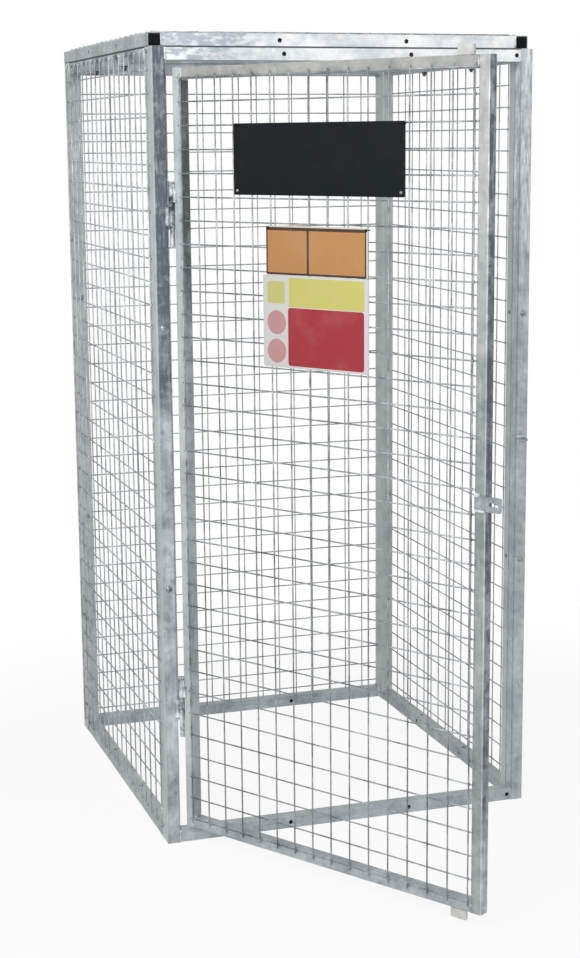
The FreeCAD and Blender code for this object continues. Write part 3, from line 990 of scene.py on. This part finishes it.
@dataclass
class Meshes(SubAssembly):
    """The five welded meshes of the cage and its door.

    Attributes:
        rise: Distance between the cross wires of the upright panels.
        run: Heights between which the uprights of the right and back panels run.
    """

    rise: float = 0.0504
    run: tuple[float, float] = (0.005, 1.779)

    def facing(self, turn: float, x: float, y: float) -> Matrix:
        """Turns a panel by some degrees and puts it in its place."""
        return Matrix.Translation((x, y, 0)) @ Matrix.Rotation(math.radians(turn), 4, "Z")

    def build(self) -> None:
        """Builds the meshes."""
        lying = Matrix.Translation((0, 0, ROOF_TOP)) @ Matrix.Rotation(math.radians(-90), 4, "X")
        for panel in (
            WireMesh("left_wire_mesh", "cage", ("left_mesh_lower", "left_mesh_upper"),
                     self.facing(-90, -HALF_WIDTH, 0), -0.8725, 18, 0.0732, 34, self.rise,
                     (0.0275, self.run[1])),
            WireMesh("right_wire_mesh", "cage", ("right_mesh_lower", "right_mesh_upper"),
                     self.facing(90, HALF_WIDTH, 0), 0.0225, 18, 0.0434, 35, self.rise, self.run),
            WireMesh("back_wire_mesh", "cage", ("back_mesh_lower", "back_mesh_upper"),
                     self.facing(180, 0, BACK), -0.425, 18, 0.0434, 35, self.rise, self.run),
            WireMesh("roof_wire_mesh", "cage", ("roof_mesh",), lying, -0.4295, 18, 0.071, 17,
                     run=(0.0325, 0.8925), layers=(0.0043, 0.0015)),
            WireMesh("door_wire_mesh", "door", ("door_mesh_lower", "door_mesh_upper"),
                     OPEN_DOOR @ Matrix.Translation((0, DOOR_FRONT, 0)), 0.033, 16, 0.067, 34,
                     tip=0.008),
        ):
            on_door = panel.body == "door"
            panel.build(self.finishes.door_wire if on_door else self.finishes.wire)


# ---------------------------------------------------------------------- welds


@dataclass
class Seam:
    """A weld along a straight seam.

    Attributes:
        start: Where it starts.
        end: Where it ends.
        radius: Radius of the bead, half of which is in the metal.
    """

    start: Numbers
    end: Numbers
    radius: float = 0.0021


@dataclass
class WeldBeads:
    """Rippled beads along the seams of one assembly.

    Attributes:
        name: Name of the piece.
        body: Body that it moves with.
        seams: The seams, on the shut door or on the cage.
        ripple: Length of one ripple.
        swell: How far every other ring swells.
        taper: How far the ends shrink.
        lumps: Size and height of the lumps that roughen the beads.
    """

    name: str
    body: str
    seams: list[Seam]
    ripple: float = 0.0034
    swell: float = 1.22
    taper: float = 0.45
    lumps: tuple[float, float] = (0.006, 0.0012)

    def bead(self, seam: Seam) -> bpy.types.Object:
        """Runs one bead, a bar cut into rings that swell and shrink by turns.

        Args:
            seam: The seam.

        Returns:
            The bead in its place.
        """
        start, end = Vector(seam.start), Vector(seam.end)
        length = (end - start).length
        count = max(2, round(length / self.ripple))
        step = length / (2 * count)
        bar = Bench.lathe(seam.radius, length, 8)
        Bench.rings(bar, 2 * count - 1)
        Bench.resize(bar, (self.swell, self.swell, 1.0),
                     lambda point, normal: round(point.z / step) % 2 == 1)
        Bench.resize(bar, (self.taper, self.taper, 1.0),
                     lambda point, normal: min(point.z, length - point.z) < step / 4)
        turn = (end - start).to_track_quat("Z", "Y").to_matrix().to_4x4()
        place = OPEN_DOOR if self.body == "door" else STANDING
        return Bench.moved(bar, place @ Matrix.Translation(start) @ turn)

    def build(self, finish: bpy.types.Material, slot: str = FITTINGS) -> None:
        """Runs every bead and roughens them a little.

        Args:
            finish: Their finish.
            slot: The record's material slot.
        """
        piece = Bench.join([self.bead(seam) for seam in self.seams], self.name)
        clouds = bpy.data.textures.new(self.name, type="CLOUDS")
        clouds.noise_scale, height = self.lumps
        Bench.modify(piece, "DISPLACE", texture=clouds, texture_coords="LOCAL", strength=height,
                     mid_level=0.5)
        fit(Bench.smooth(piece, 70.0), finish, self.body, slot)


@dataclass
class Welds(SubAssembly):
    """All the weld beads of the cage and the door.

    Attributes:
        margin: How far a bead stops short of a corner.
        lap: How far a bead in an inner corner stops short of the tube's faces.
        fat: Radius of a bead in an inner corner.
        thin: Radius of a bead under the roof frame.
        tab: Ends of the beads that hold the stop tabs.
        tab_y: Y of these beads.
    """

    margin: float = 0.002
    lap: float = 0.003
    fat: float = 0.0026
    thin: float = 0.0014
    tab: tuple[float, float] = (0.744, 0.773)
    tab_y: float = 0.004

    def upright(self, x: float, y: float, low: float, high: float) -> Seam:
        """Gives a bead up the side of a rail."""
        return Seam((x, y, low + self.margin), (x, y, high - self.margin))

    def corner(self, x: float, y: Numbers, z: Numbers, inner: float) -> list[Seam]:
        """Gives the beads where a rail along X meets an upright.

        Args:
            x: The upright's face that the rail meets.
            y: The rail's front and back faces.
            z: The rail's under and top sides.
            inner: The side of the rail that looks into the frame.

        Returns:
            A bead on the front, one on the back and one in the corner.
        """
        return [self.upright(x, y[0], *z), self.upright(x, y[1], *z),
                Seam((x, y[0] + self.lap, inner), (x, y[1] - self.lap, inner), self.fat)]

    def frame_seams(self) -> list[Seam]:
        """Lists the seams of the front, the sides and the back.

        Returns:
            The seams.
        """
        seams: list[Seam] = []
        levels = ((0.0, TUBE), (PANEL_TOP - TUBE, PANEL_TOP - TUBE))
        ends = (POST_INNER + self.lap, HALF_WIDTH - self.lap)
        for side in (-1, 1):
            for low, inner in levels:
                for y in (-HALF_TUBE, BACK - TUBE):
                    seams += self.corner(side * POST_INNER, (y, y + TUBE), (low, low + TUBE),
                                         inner)
            for y in (STILE_FRONT, SIDE_BACK - TUBE):
                for low, inner in levels:
                    for x in (side * POST_INNER, side * HALF_WIDTH):
                        seams.append(self.upright(x, y, low, low + TUBE))
                    seams.append(Seam(*((side * x, y, inner) for x in ends), self.fat))
        return seams

    def roof_seams(self) -> list[Seam]:
        """Lists the seams of the roof frame.

        Returns:
            The seams.
        """
        seams = []
        for x in (-POST_INNER, POST_INNER):
            for front, rear in ((HALF_TUBE, STILE_FRONT), (BACK - TUBE, BACK)):
                seams += [self.upright(x, face, PANEL_TOP, ROOF_TOP) for face in (front, rear)]
                seams.append(Seam((x, front + self.margin, PANEL_TOP),
                                  (x, rear - self.margin, PANEL_TOP), self.thin))
        return seams

    def door_seams(self) -> list[Seam]:
        """Lists the seams of the door's frame and its tabs.

        Returns:
            The seams.
        """
        seams: list[Seam] = []
        faces = (DOOR_FRONT, DOOR_FRONT + DOOR_TUBE)
        for s in (DOOR_EDGES[0] + DOOR_TUBE, DOOR_EDGES[1] - DOOR_TUBE):
            low, high = DOOR_BASE + DOOR_TUBE, DOOR_TOP - DOOR_TUBE
            seams += self.corner(s, faces, (DOOR_BASE, low), low)
            seams += self.corner(s, faces, (high, DOOR_TOP), high)
        for z in (DOOR_BASE, DOOR_TOP):
            seams.append(Seam(*((s, self.tab_y, z) for s in self.tab), self.fat))
        return seams

    def build(self) -> None:
        """Builds the beads."""
        for name, body, seams in (("frame_weld_beads", "cage", self.frame_seams()),
                                  ("roof_weld_beads", "cage", self.roof_seams()),
                                  ("door_weld_beads", "door", self.door_seams())):
            WeldBeads(name, body, seams).build(self.finishes.weld, "galvanised_tube")


# ----------------------------------------------------------------- fasteners


@dataclass
class DomeBolt:
    """A dome-head bolt through two tubes, with its washer, nut and thread end.

    Modelled with the head's seat on the origin, the shank going down.

    Attributes:
        shank: Radius of the thread.
        head: Radius of the head.
        dome: Height of the head.
        grip: From the head's seat to the washer's.
        tail: How far the thread stands out of the nut.
        washer: Radius and thickness of the washer.
        nut: Radius and height of the nut.
        root: Share of the thread's radius that is left between two turns.
        turns: Rings that the thread end is cut into.
        sides: Sides of the thread, the washer and the nut.
        rims: Bevels of the thread end, the washer and the nut.
        faces: Thickness and depth of the insets on the nut's two faces.
        fineness: Segments and rings of the head.
        blind: Whether the thread ends inside a tube, with no washer or nut.
    """

    shank: float = 0.0040
    head: float = 0.0074
    dome: float = 0.0030
    grip: float = 0.060
    tail: float = 0.0065
    washer: tuple[float, float] = (0.0086, 0.0016)
    nut: tuple[float, float] = (0.0074, 0.0064)
    root: float = 0.86
    turns: int = 24
    sides: tuple[int, int, int] = (14, 24, 6)
    rims: Numbers = (0.0007, 0.0003, 0.0009)
    faces: tuple[tuple[float, float], ...] = ((0.0012, 0.0), (0.0008, -0.0003))
    fineness: tuple[int, int] = (20, 12)
    blind: bool = False

    def hung(self, piece: bpy.types.Object, depth: float) -> bpy.types.Object:
        """Hangs a piece with its foot some way below the washer's seat."""
        return Bench.moved(piece, Matrix.Translation((0, 0, -self.grip - depth)))

    def threads(self) -> bpy.types.Object:
        """Shapes the thread end: a bar whose rings swell and shrink by turns.

        Returns:
            The thread end.
        """
        length = self.washer[1] + self.nut[1] + self.tail
        rim = self.rims[0]
        bar = Bench.lathe(self.shank, length, self.sides[0])
        Bench.soften_ends(bar, length, rim)
        Bench.rings(bar, self.turns - 1)
        step = (length - 2 * rim) / self.turns
        edge = rim + step / 4
        Bench.resize(bar, (self.root, self.root, 1.0), lambda point, normal:
                     edge < point.z < length - edge and round((point.z - rim) / step) % 2 == 0)
        return self.hung(bar, length)

    def washer_ring(self) -> bpy.types.Object:
        """Shapes the washer under the nut.

        Returns:
            The washer.
        """
        radius, thickness = self.washer
        ring = Bench.lathe(radius, thickness, self.sides[1])
        Bench.soften_ends(ring, thickness, self.rims[1])
        return self.hung(ring, thickness)

    def hexagon_nut(self) -> bpy.types.Object:
        """Shapes the nut, chamfered at both faces.

        Returns:
            The nut.
        """
        radius, height = self.nut
        nut = Bench.lathe(radius, height, self.sides[2])
        Bench.soften_ends(nut, height, self.rims[2])
        Bench.inset(nut, lambda middle, normal: abs(normal.z) > ALONG, *self.faces)
        Bench.clear()
        return self.hung(nut, self.washer[1] + height)

    def build(self, name: str, places: list[Matrix], finish: bpy.types.Material) -> None:
        """Models one bolt and copies it to its places on the cage.

        Args:
            name: Name of the piece.
            places: Where the bolts go.
            finish: Their finish.
        """
        parts = [Bench.dome(self.head, self.dome, self.fineness, (0, 0, 1)), self.threads()]
        if not self.blind:
            parts += [self.washer_ring(), self.hexagon_nut()]
        pattern = Bench.smooth(Bench.join(parts, name + "_pattern"), 35.0)
        fit(Bench.copies(pattern, places, name), finish, "cage", FITTINGS)


@dataclass
class Bolts(SubAssembly):
    """The bolts that hold the panels of the cage together.

    Attributes:
        levels: Heights of the bolts in the posts.
        depths: Y of the bolts in the roof.
    """

    levels: tuple[float, float] = (0.5995, 1.1845)
    depths: tuple[float, float] = (0.2960, 0.5940)

    def upright(self, y: float) -> list[Matrix]:
        """Gives the places of the bolts in two uprights, with their heads forward.

        Args:
            y: Where the heads sit.

        Returns:
            The places.
        """
        forward = Matrix.Rotation(math.radians(90), 4, "X")
        return [Matrix.Translation((side * POST_X, y, z)) @ forward
                for side in (-1, 1) for z in self.levels]

    def build(self) -> None:
        """Builds the bolts."""
        roof = [Matrix.Translation((side * POST_X, y, ROOF_TOP))
                for side in (-1, 1) for y in self.depths]
        DomeBolt().build("post_bolts", self.upright(-HALF_TUBE), self.finishes.bolt)
        DomeBolt(dome=0.0026, nut=(0.0062, 0.0052), tail=0.004).build("roof_bolts", roof,
                                                                      self.finishes.dark_bolt)
        DomeBolt(grip=0.044, blind=True).build("back_bolts", self.upright(SIDE_BACK - TUBE),
                                               self.finishes.bolt)


@dataclass
class TubePlugs(SubAssembly):
    """The black plugs in the open ends of the roof's side tubes.

    Attributes:
        side: Width of a plug's head.
        corner: Radius of its corners.
        lip: How far the head stands out.
        stem: How deep the stem goes in.
        crown: Insets of the head's face.
        rim: Bevel round the head's face.
        wall: How far the stem stands in from the head's edge.
    """

    side: float = 0.0245
    corner: float = 0.0040
    lip: float = 0.0020
    stem: float = 0.012
    crown: tuple[float, float] = (0.0012, 0.0030)
    rim: float = 0.0005
    wall: float = 0.0008

    def plug(self) -> bpy.types.Object:
        """Shapes one plug with its head towards -Y: a block, rounded, crowned and stemmed.

        Returns:
            The plug, with its head's seat on the origin.
        """
        head = Bench.block((0, -self.lip / 2, 0), (self.side, self.lip, self.side))
        Bench.bevel(head, self.corner, 4, lambda middle, way: abs(way.y) > ALONG)
        Bench.inset(head, lambda middle, normal: normal.y < -ALONG,
                    *((width, 0.0) for width in self.crown))
        Bench.bevel(head, self.rim, 2, lambda middle, way: middle.y < -self.lip * ALONG and
                    max(abs(middle.x), abs(middle.z)) > self.side * 0.42)
        Bench.inset(head, lambda middle, normal: normal.y > ALONG, (self.wall, 0.0))
        bpy.ops.mesh.extrude_region_move(TRANSFORM_OT_translate={"value": (0, self.stem, 0)})
        Bench.clear()
        return head

    def build(self) -> None:
        """Builds the four plugs."""
        height = (PANEL_TOP + ROOF_TOP) / 2
        turned = Matrix.Rotation(math.pi, 4, "Z")
        places = [Matrix.Translation((side * POST_X, y, height)) @ turn
                  for side in (-1, 1) for y, turn in ((HALF_TUBE, STANDING), (BACK, turned))]
        plugs = Bench.copies(Bench.smooth(self.plug(), 25.0), places, "roof_end_plugs")
        fit(plugs, self.finishes.plastic, "cage", "black_plastic", "roof_tube_plugs")


# ----------------------------------------------------------------------- signs


@dataclass
class Plate:
    """A thin bare or plainly printed plate on the door's mesh.

    Attributes:
        name: Name of the piece.
        stands_for: The node that it replaces.
        slot: The record's material slot.
        low: Its lower left corner on the shut door.
        size: Its width and height.
        corner: Radius of its corners.
        face: Where its face is, before the hinge axis.
        thickness: Its thickness.
        rim: Bevel of its rims.
    """

    name: str
    stands_for: str
    slot: str
    low: tuple[float, float]
    size: tuple[float, float]
    corner: float = 0.003
    face: float = -0.010
    thickness: float = 0.002
    rim: float = 0.0004

    def build(self, finish: bpy.types.Material, rear: bpy.types.Material) -> None:
        """Cuts the plate, rounds its corners, eases its rims and maps its face.

        Args:
            finish: Finish of its face and rims.
            rear: Finish of its plain back.
        """
        (left, foot), (width, height) = self.low, self.size
        middle = (left + width / 2, self.face + self.thickness / 2, foot + height / 2)
        plate = Bench.block(middle, (width, self.thickness, height))
        Bench.bevel(plate, self.corner, 5, lambda place, way: abs(way.y) > ALONG)
        Bench.bevel(plate, self.rim, 2, lambda place, way: abs(way.y) < ACROSS)
        mesh = plate.data
        mapped = mesh.uv_layers.new(name="plate")
        for loop in mesh.loops:
            point = mesh.vertices[loop.vertex_index].co
            mapped.data[loop.index].uv = (point.x - left, point.z - foot)
        backs = [side.normal.y > 0.5 for side in mesh.polygons]
        plate.name = mesh.name = self.name
        Bench.smooth(Bench.moved(plate, OPEN_DOOR), 30.0)
        fit(plate, finish, "door", self.slot, self.stands_for)
        mesh.materials.append(rear)
        for side, back in zip(mesh.polygons, backs):
            side.material_index = int(back)


@dataclass
class Signs(SubAssembly):
    """The three plates on the door and their fixings.

    Attributes:
        rivet: Radius and height of a rivet's head.
        rivets: Where the rivets are, on the shut door.
        strap: Radius of a cable tie's loop, half the strap's thickness, and how much wider
            the strap is.
        tie_head: Size of a cable tie's head.
        tie_rim: Bevel of that head, and how far its middle stands out.
        ties: Where the ties' heads are, on the shut door.
        seats: Y of the rivets and of the ties.
    """

    rivet: tuple[float, float] = (0.0032, 0.0014)
    rivets: tuple[tuple[float, float], ...] = ((0.1955, 1.483), (0.6155, 1.483))
    strap: Numbers = (0.0044, 0.0007, 1.8)
    tie_head: Numbers = (0.0052, 0.0030, 0.0046)
    tie_rim: float = 0.0006
    ties: tuple[tuple[float, float], ...] = ((0.1925, 1.6150), (0.6195, 1.6150),
                                             (0.2770, 1.4085), (0.5320, 1.4085))
    seats: tuple[float, float] = (-0.0100, -0.0102)

    def tie(self) -> bpy.types.Object:
        """Shapes one cable tie: a flat strap round the wire with a small head.

        Returns:
            The tie, with its head on the origin.
        """
        radius, half, widen = self.strap
        loop = Bench.start(bpy.ops.mesh.primitive_torus_add, major_segments=20, minor_segments=6,
                           major_radius=radius, minor_radius=half)
        Bench.moved(Bench.resize(loop, (1.0, 1.0, widen)), Matrix.Translation((0, radius, 0)))
        head = Bench.block((0, -self.tie_rim, 0), self.tie_head)
        Bench.bevel(head, self.tie_rim, 2, every)
        return Bench.smooth(Bench.join([loop, head], "tie_pattern"), 50.0)

    def fix(self, pattern: bpy.types.Object, spots: tuple[tuple[float, float], ...], y: float,
            name: str) -> bpy.types.Object:
        """Puts copies of a fixing on the plates."""
        places = [OPEN_DOOR @ Matrix.Translation((s, y, z)) for s, z in spots]
        return Bench.copies(pattern, places, name)

    def build(self) -> None:
        """Builds the plates and their fixings."""
        paints = self.finishes
        Plate("dark_plate", "upper_sign", "black_sign", (0.1865, 1.474), (0.438, 0.146)).build(
            paints.dark_plate, paints.dark_plate)
        Plate("orange_plate", "middle_sign", "orange_sign", (0.2725, 1.3130),
              (0.263, 0.100)).build(paints.orange_plate, paints.plate_rear)
        Plate("white_plate", "lower_sign", "white_sign", (0.2630, 1.1215), (0.274, 0.191),
              0.005).build(paints.white_plate, paints.plate_rear)
        head = Bench.smooth(Bench.dome(*self.rivet, (14, 8), (0, -1, 0)), 40.0)
        on_plate, on_wire = self.seats
        fit(self.fix(head, self.rivets, on_plate, "plate_rivets"), paints.bolt, "door", FITTINGS)
        fit(self.fix(self.tie(), self.ties, on_wire, "plate_ties"), paints.plastic, "door",
            "black_plastic")


# ------------------------------------------------------------ hinges and latch


@dataclass
class HingeWelds(SubAssembly):
    """Lumpy upright welds that hold the knuckles to the post and the door.

    Attributes:
        seats: Heights at which the knuckles meet.
        post: X, Y, start and end from the seat, and radius of each bead on the post.
        door: The same on the shut door.
        ripple: Length of one ripple.
    """

    seats: tuple[float, float] = (0.345, 1.450)
    post: tuple[Numbers, ...] = ((-0.4165, -0.0165, -0.046, -0.004, 0.0045),
                                 (-0.4145, -0.0135, -0.044, -0.006, 0.0032))
    door: tuple[Numbers, ...] = ((0.0085, -0.0030, 0.006, 0.044, 0.0032),
                                 (0.0115, -0.0030, 0.004, 0.032, 0.0044))
    ripple: float = 0.0048

    def build(self) -> None:
        """Builds the welds of both hinges."""
        for name, body, beads in (("hinge_post_welds", "cage", self.post),
                                  ("hinge_door_welds", "door", self.door)):
            seams = [Seam((x, y, seat + low), (x, y, seat + high), radius)
                     for seat in self.seats for x, y, low, high, radius in beads]
            WeldBeads(name, body, seams, self.ripple).build(self.finishes.weld)


@dataclass
class LatchWelds(SubAssembly):
    """The lapped foot of the hasp, and the welds of the hasp and of the staple.

    Attributes:
        foot_middle: Middle of the foot on the shut door.
        foot_size: Size of the foot.
        foot_corner: Radius of its two corners that lie on the mesh's side.
        hasp: The seams on the shut door.
        staple: The seams on the post.
        ripples: Length of a ripple on the hasp and on the staple.
    """

    foot_middle: Numbers = (0.7975, -0.0034, 0.891)
    foot_size: Numbers = (0.0170, 0.0028, 0.0285)
    foot_corner: float = 0.004
    ripples: tuple[float, float] = (0.0042, 0.0040)
    hasp: tuple[Seam, ...] = (
        Seam((0.7890, -0.0036, 0.9072), (0.8020, -0.0036, 0.9068), 0.0042),
        Seam((0.7900, -0.0036, 0.8758), (0.8120, -0.0036, 0.8754), 0.0030))
    staple: tuple[Seam, ...] = (
        Seam((0.4165, -0.0162, 0.8955), (0.4355, -0.0162, 0.8950), 0.0040),
        Seam((0.4180, -0.0155, 0.8872), (0.4340, -0.0155, 0.8872), 0.0026))

    def build(self) -> None:
        """Builds the foot and the welds."""
        foot = Bench.block(self.foot_middle, self.foot_size)
        Bench.bevel(foot, self.foot_corner, 4, lambda middle, way:
                    abs(way.y) > ALONG and middle.x < self.foot_middle[0])
        foot.name = foot.data.name = "hasp_foot"
        Bench.smooth(Bench.moved(foot, OPEN_DOOR), 30.0)
        fit(foot, self.finishes.fitting, "door", FITTINGS)
        for name, body, seams, ripple in (("hasp_welds", "door", self.hasp, self.ripples[0]),
                                          ("staple_welds", "cage", self.staple, self.ripples[1])):
            WeldBeads(name, body, list(seams), ripple).build(self.finishes.bead)


# ---------------------------------------------------------------- kept tubes


@dataclass(frozen=True)
class Side:
    """One side of some tubes, painted lighter or darker than the rest by the way that it looks:
    painted light and shade.

    Attributes:
        nodes: The tubes.
        way: The way that the side looks.
        finish: Its finish.
        least: Least share of a face's normal along that way.
        most: Greatest share, below one for the roundings beside a flat side.
    """

    nodes: tuple[str, ...]
    way: Numbers
    finish: bpy.types.Material
    least: float = 0.6
    most: float = 1.01

    def paint(self, node: bpy.types.Object) -> None:
        """Gives the finish to the faces of a node that look this way.

        Args:
            node: The node.
        """
        node.data.materials.append(self.finish)
        turn = node.matrix_world.to_3x3()
        for face in node.data.polygons:
            if self.least <= (turn @ face.normal).dot(Vector(self.way)) <= self.most:
                face.material_index = len(node.data.materials) - 1


@dataclass
class Frame(SubAssembly):
    """The tubes and fittings whose shapes the solids already have.

    Attributes:
        rounding: Shares of a normal that pick the roundings beside a flat side.
    """

    rounding: tuple[float, float] = (0.12, 0.99)

    def sides(self) -> list[Side]:
        """Lists the sides whose faces are painted with light or shade, unlike the rest of their
        tubes.

        Returns:
            The sides.
        """
        paints = self.finishes
        along_door = (math.cos(OPEN_ANGLE), -math.sin(OPEN_ANGLE), 0.0)
        up, down, left = (0.0, 0.0, 1.0), (0.0, 0.0, -1.0), (-1.0, 0.0, 0.0)
        return [
            # Painted shade on the hinge stile's side that looks across the opening.
            Side(("door_hinge_stile",), along_door, paints.reveal),
            # Painted shade on the free stile's side that looks across the opening.
            Side(("door_free_stile",), along_door, paints.streaked_shade),
            Side(("head", "door_top_rail"), down, paints.shade),
            # Painted shade in the crease between the roof tubes and the head and top rails, on
            # the roundings that face into it.
            Side(("roof_front_tube", "roof_left_tube", "roof_right_tube"), down, paints.seam,
                 *self.rounding),
            Side(("head", "left_top_rail", "right_top_rail"), up, paints.seam, *self.rounding),
            # Painted highlight: the roundings beside the free stile's shaded side take the bright
            # post zinc.
            Side(("door_free_stile",), along_door, paints.post, 0.15, 0.95),
            Side(("right_post", "right_front_stile", "left_post"), left, paints.shade,
                 *self.rounding),
            # Painted light: the top faces of the bottom rails and the sill take the paler zinc.
            Side(("left_bottom_rail", "right_bottom_rail", "back_bottom_rail", "sill"), up,
                 paints.pale),
            # Painted light: the side of the left post that looks left, towards the key lamp,
            # takes the paler zinc.
            Side(("left_post",), left, paints.pale),
        ]

    def finish_of(self, name: str) -> bpy.types.Material:
        """Chooses the finish of a node.

        Args:
            name: The node's name.

        Returns:
            Its finish.
        """
        paints = self.finishes
        choices = {
            "left_post": paints.dull, "right_post": paints.post, "left_top_rail": paints.patchy,
            "head": paints.head, "roof_front_tube": paints.bright, "door_top_rail": paints.warm,
            "door_free_stile": paints.buff, "door_stop_tabs": paints.tab, "hasp": paints.fitting,
            "staple": paints.fitting, "pintle": paints.hinge, "knuckle": paints.hinge,
            "stile": paints.pale, "back": paints.across, "sill": paints.across,
            "door_bottom_rail": paints.across,
        }
        return next((choices[part] for part in choices if part in name), paints.deep)

    def build(self, nodes: dict[str, bpy.types.Object]) -> None:
        """Gives every kept node its finish.

        Args:
            nodes: The nodes of the part.
        """
        for name, node in nodes.items():
            if not node.hide_render:
                dress(node, self.finish_of(name))
                log.info("%s is %s", name, node.data.materials[0].name)
        for side in self.sides():
            for name in side.nodes:
                side.paint(nodes[name])


# ---------------------------------------------------------------------- studio


@dataclass
class Studio:
    """A pale floor, soft light and the camera.

    Attributes:
        eye: Where the camera is.
        yaw: How far it turns to the right, in degrees.
        pitch: How far it looks down.
        roll: How far it leans clockwise.
        lens: Focal length in millimetres.
        sensor: Width of the sensor in millimetres.
        clip: Nearest and farthest distance that the camera sees.
        ambient: Strength of the world's light.
        lamps: Name, place, side and power of each lamp.
        target: Where the lamps look.
        floor_place: Middle of the floor.
        floor_radius: Radius of the floor.
        floor_ring: Width of its outer ring.
        near_white: How white the floor is by itself near the cage.
        fade: Distances between which it goes all white.
    """

    eye: Numbers = (-1.4125, -3.88563, 1.5853)
    yaw: float = 18.152
    pitch: float = 10.485
    roll: float = 0.496
    lens: float = 68.84
    sensor: float = 36.0
    clip: tuple[float, float] = (0.05, 60.0)
    ambient: float = 0.25
    lamps: tuple[tuple[str, Numbers, float, float], ...] = (
        ("key_lamp", (-3.2, -4.0, 3.6), 3.2, 255.0), ("fill_lamp", (3.6, -2.6, 2.4), 3.0, 8.0))
    target: Numbers = (0, 0.4, 0.9)
    floor_place: Numbers = (0, 0.44, -0.0004)
    floor_radius: float = 14.0
    floor_ring: float = 9.0
    near_white: float = 0.90
    fade: tuple[float, float] = (0.9, 2.2)

    def hang(self, name: str, data: bpy.types.ID, place: Matrix) -> bpy.types.Object:
        """Puts a camera or a lamp in its place.

        Args:
            name: Its name.
            data: Its data.
            place: Its place and turn.

        Returns:
            The object.
        """
        hung = bpy.data.objects.new(name, data)
        bpy.context.scene.collection.objects.link(hung)
        hung.matrix_world = place
        return hung

    def camera(self) -> None:
        """Sets up the camera."""
        data = bpy.data.cameras.new("camera")
        data.lens, data.sensor_width, data.sensor_fit = self.lens, self.sensor, "AUTO"
        data.clip_start, data.clip_end = self.clip
        data.dof.use_dof = False
        place = Matrix.Translation(self.eye)
        for angle, axis in ((-self.yaw, "Z"), (90 - self.pitch, "X"), (-self.roll, "Z")):
            place = place @ Matrix.Rotation(math.radians(angle), 4, axis)
        bpy.context.scene.camera = self.hang("camera", data, place)

    def light(self) -> None:
        """Hangs the square soft lamps, which look at the cage."""
        for name, place, size, power in self.lamps:
            data = bpy.data.lights.new(name, "AREA")
            data.energy, data.shape, data.size = power, "SQUARE", size
            turn = (Vector(self.target) - Vector(place)).to_track_quat("-Z", "Y")
            self.hang(name, data, Matrix.Translation(place) @ turn.to_matrix().to_4x4())

    def world(self) -> None:
        """Lights the cage evenly, with a white background for the eye, gloss and glass."""
        world = bpy.data.worlds.new("studio")
        bpy.context.scene.world = world
        nodes = Nodes(world)
        strength = nodes.node("ShaderNodeMapRange", {}, {"Value": nodes.seen(),
                                                         "To Min": self.ambient, "To Max": 1.0})
        sky = nodes.node("ShaderNodeBackground", {}, {"Strength": strength,
                                                      "Color": (1, 1, 1, 1)})
        output = nodes.tree.nodes.new("ShaderNodeOutputWorld")
        nodes.feed(output.inputs["Surface"], sky)

    def floor(self) -> None:
        """Lays a pale floor that keeps the cage's shadow and goes white far out."""
        ground = Bench.start(bpy.ops.mesh.primitive_circle_add, vertices=64, fill_type="NGON",
                             radius=self.floor_radius, location=self.floor_place)
        Bench.inset(ground, every, (self.floor_ring, 0.0))
        Bench.clear()
        ground.name = "floor"
        shader = Shader("studio_floor")
        shader.finish(Base_Color=paint(238, 238, 238), Roughness=0.9)
        far = shader.node("ShaderNodeVectorMath", {"operation": "LENGTH"}, {0: shader.place()},
                          "Value")
        white = shader.seen() * (self.near_white + far.step(*self.fade) * (1 - self.near_white))
        surface = Value(shader, shader.surface.outputs[0])
        mixed = shader.node("ShaderNodeMixShader", {},
                            {0: white, 1: surface, 2: shader.node("ShaderNodeEmission")})
        shader.feed(shader.output.inputs["Surface"], mixed)
        dress(ground, shader.material)

    def build(self) -> None:
        """Sets up the whole studio."""
        self.camera()
        self.world()
        self.floor()
        self.light()
        bpy.context.scene.view_settings.view_transform = "Standard"
        log.info("studio ready")


def main() -> None:
    """Builds the scene around the frame of the part."""
    logging.basicConfig(level=logging.INFO, format="%(name)s: %(message)s")
    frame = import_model()
    Studio().build()
    finishes = Finishes()
    for group in (Meshes, Welds, Bolts, TubePlugs, Signs, HingeWelds, LatchWelds):
        group(finishes).build()
    Frame(finishes).build(frame["nodes"])
    Bench.clear()


if __name__ == "__main__":
    main()
